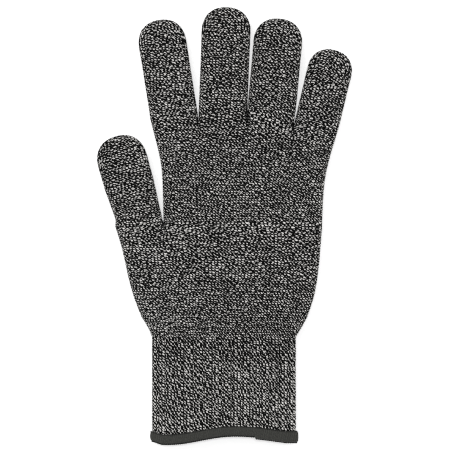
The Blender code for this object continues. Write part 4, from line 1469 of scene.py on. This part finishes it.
class GLOVE_OT_elastic(bpy.types.Operator):
    """Winds the covered elastic yarn inside the cuff and tucks the yarn ends into the fingertips."""

    bl_idname = "glove.elastic"
    bl_label = "Elastic and Yarn Ends"

    def execute(self, context):
        turns, steps = 9, 96
        t = np.linspace(0, turns, turns * steps + 1)
        up = np.interp(t, [0, turns], [10.2 * MM, CUFF_LENGTH - 12 * MM])
        path, out = hem_point(t, up, -1.75 * MM)
        arch = hem_arch(np.clip((path[:, 0] - WRIST[0]) / CUFF_HALF_WIDTH, -1, 1))
        path[:, 1] -= arch * np.clip(up / ARCH_FADES_OVER, 0, 1)
        run = np.gradient(path, axis=0)
        run /= np.linalg.norm(run, axis=1)[:, None]
        across = np.cross(out, run)
        piece = Piece("cuff_elastic")
        add_threads(piece, [tube(path, across, out, 0.32 * MM, 0.28 * MM, 8)])
        covered = thread_material("Covered Elastic", context.scene.glove_yarn.elastic)
        piece.make([covered], ["cuff_elastic_yarn"], body="cuff")
        for name in STALLS:
            s = np.linspace(0, 1, 22)
            forward, sideways = stall_directions(name)
            along = sum(STALLS[name]["lengths"]) - STALLS[name]["width"] / 4 - 9 * MM * s
            sway = 2 * MM * np.sin(2 * np.pi * s)
            plan = stall_start(name) + along[:, None] * forward + sway[:, None] * sideways
            path = np.column_stack([plan, np.full(len(s), 1.95 * MM)])
            run = np.gradient(path, axis=0)
            run /= np.linalg.norm(run, axis=1)[:, None]
            out = np.tile([0.0, 0.0, 1.0], (len(s), 1))
            piece = Piece(f"{name}_yarn_end")
            add_threads(piece, [tube(path, np.cross(out, run), out, 0.42 * MM, 0.38 * MM, 8)])
            yarn = yarn_material("Marled Yarn")
            piece.make([yarn], [f"{name}_yarn_tail"], body=f"{name}_tip")
        return {"FINISHED"}


class GLOVE_PT_panel(bpy.types.Panel):
    """The glove's pieces, in the order in which they are made."""

    bl_idname = "GLOVE_PT_panel"
    bl_label = "Knitted Glove"
    bl_space_type = "VIEW_3D"
    bl_region_type = "UI"
    bl_category = "Knitted Glove"

    def draw(self, context):
        for operator in OPERATORS:
            self.layout.operator(operator.bl_idname)
        for group in ("glove_knit", "glove_yarn", "glove_stage"):
            settings = getattr(context.scene, group)
            box = self.layout.box()
            for key in type(settings).__annotations__:
                box.prop(settings, key)


OPERATORS = (
    GLOVE_OT_stage,
    GLOVE_OT_palm,
    GLOVE_OT_fingers,
    GLOVE_OT_thumb,
    GLOVE_OT_cuff,
    GLOVE_OT_hem,
    GLOVE_OT_elastic,
)
GROUPS = (("glove_knit", KnitSettings), ("glove_yarn", YarnSettings), ("glove_stage", StageSettings))


def register():
    """Adds the settings, the operators and the panel."""
    for name, group in GROUPS:
        bpy.utils.register_class(group)
        setattr(bpy.types.Scene, name, bpy.props.PointerProperty(type=group))
    for cls in (*OPERATORS, GLOVE_PT_panel):
        bpy.utils.register_class(cls)


def unregister():
    """Takes them out again."""
    for cls in reversed((*OPERATORS, GLOVE_PT_panel)):
        bpy.utils.unregister_class(cls)
    for name, group in reversed(GROUPS):
        delattr(bpy.types.Scene, name)
        bpy.utils.unregister_class(group)


def main():
    """Builds every piece."""
    register()
    for operator in OPERATORS:
        group, call = operator.bl_idname.split(".")
        getattr(getattr(bpy.ops, group), call)()


if __name__ == "__main__":
    main()
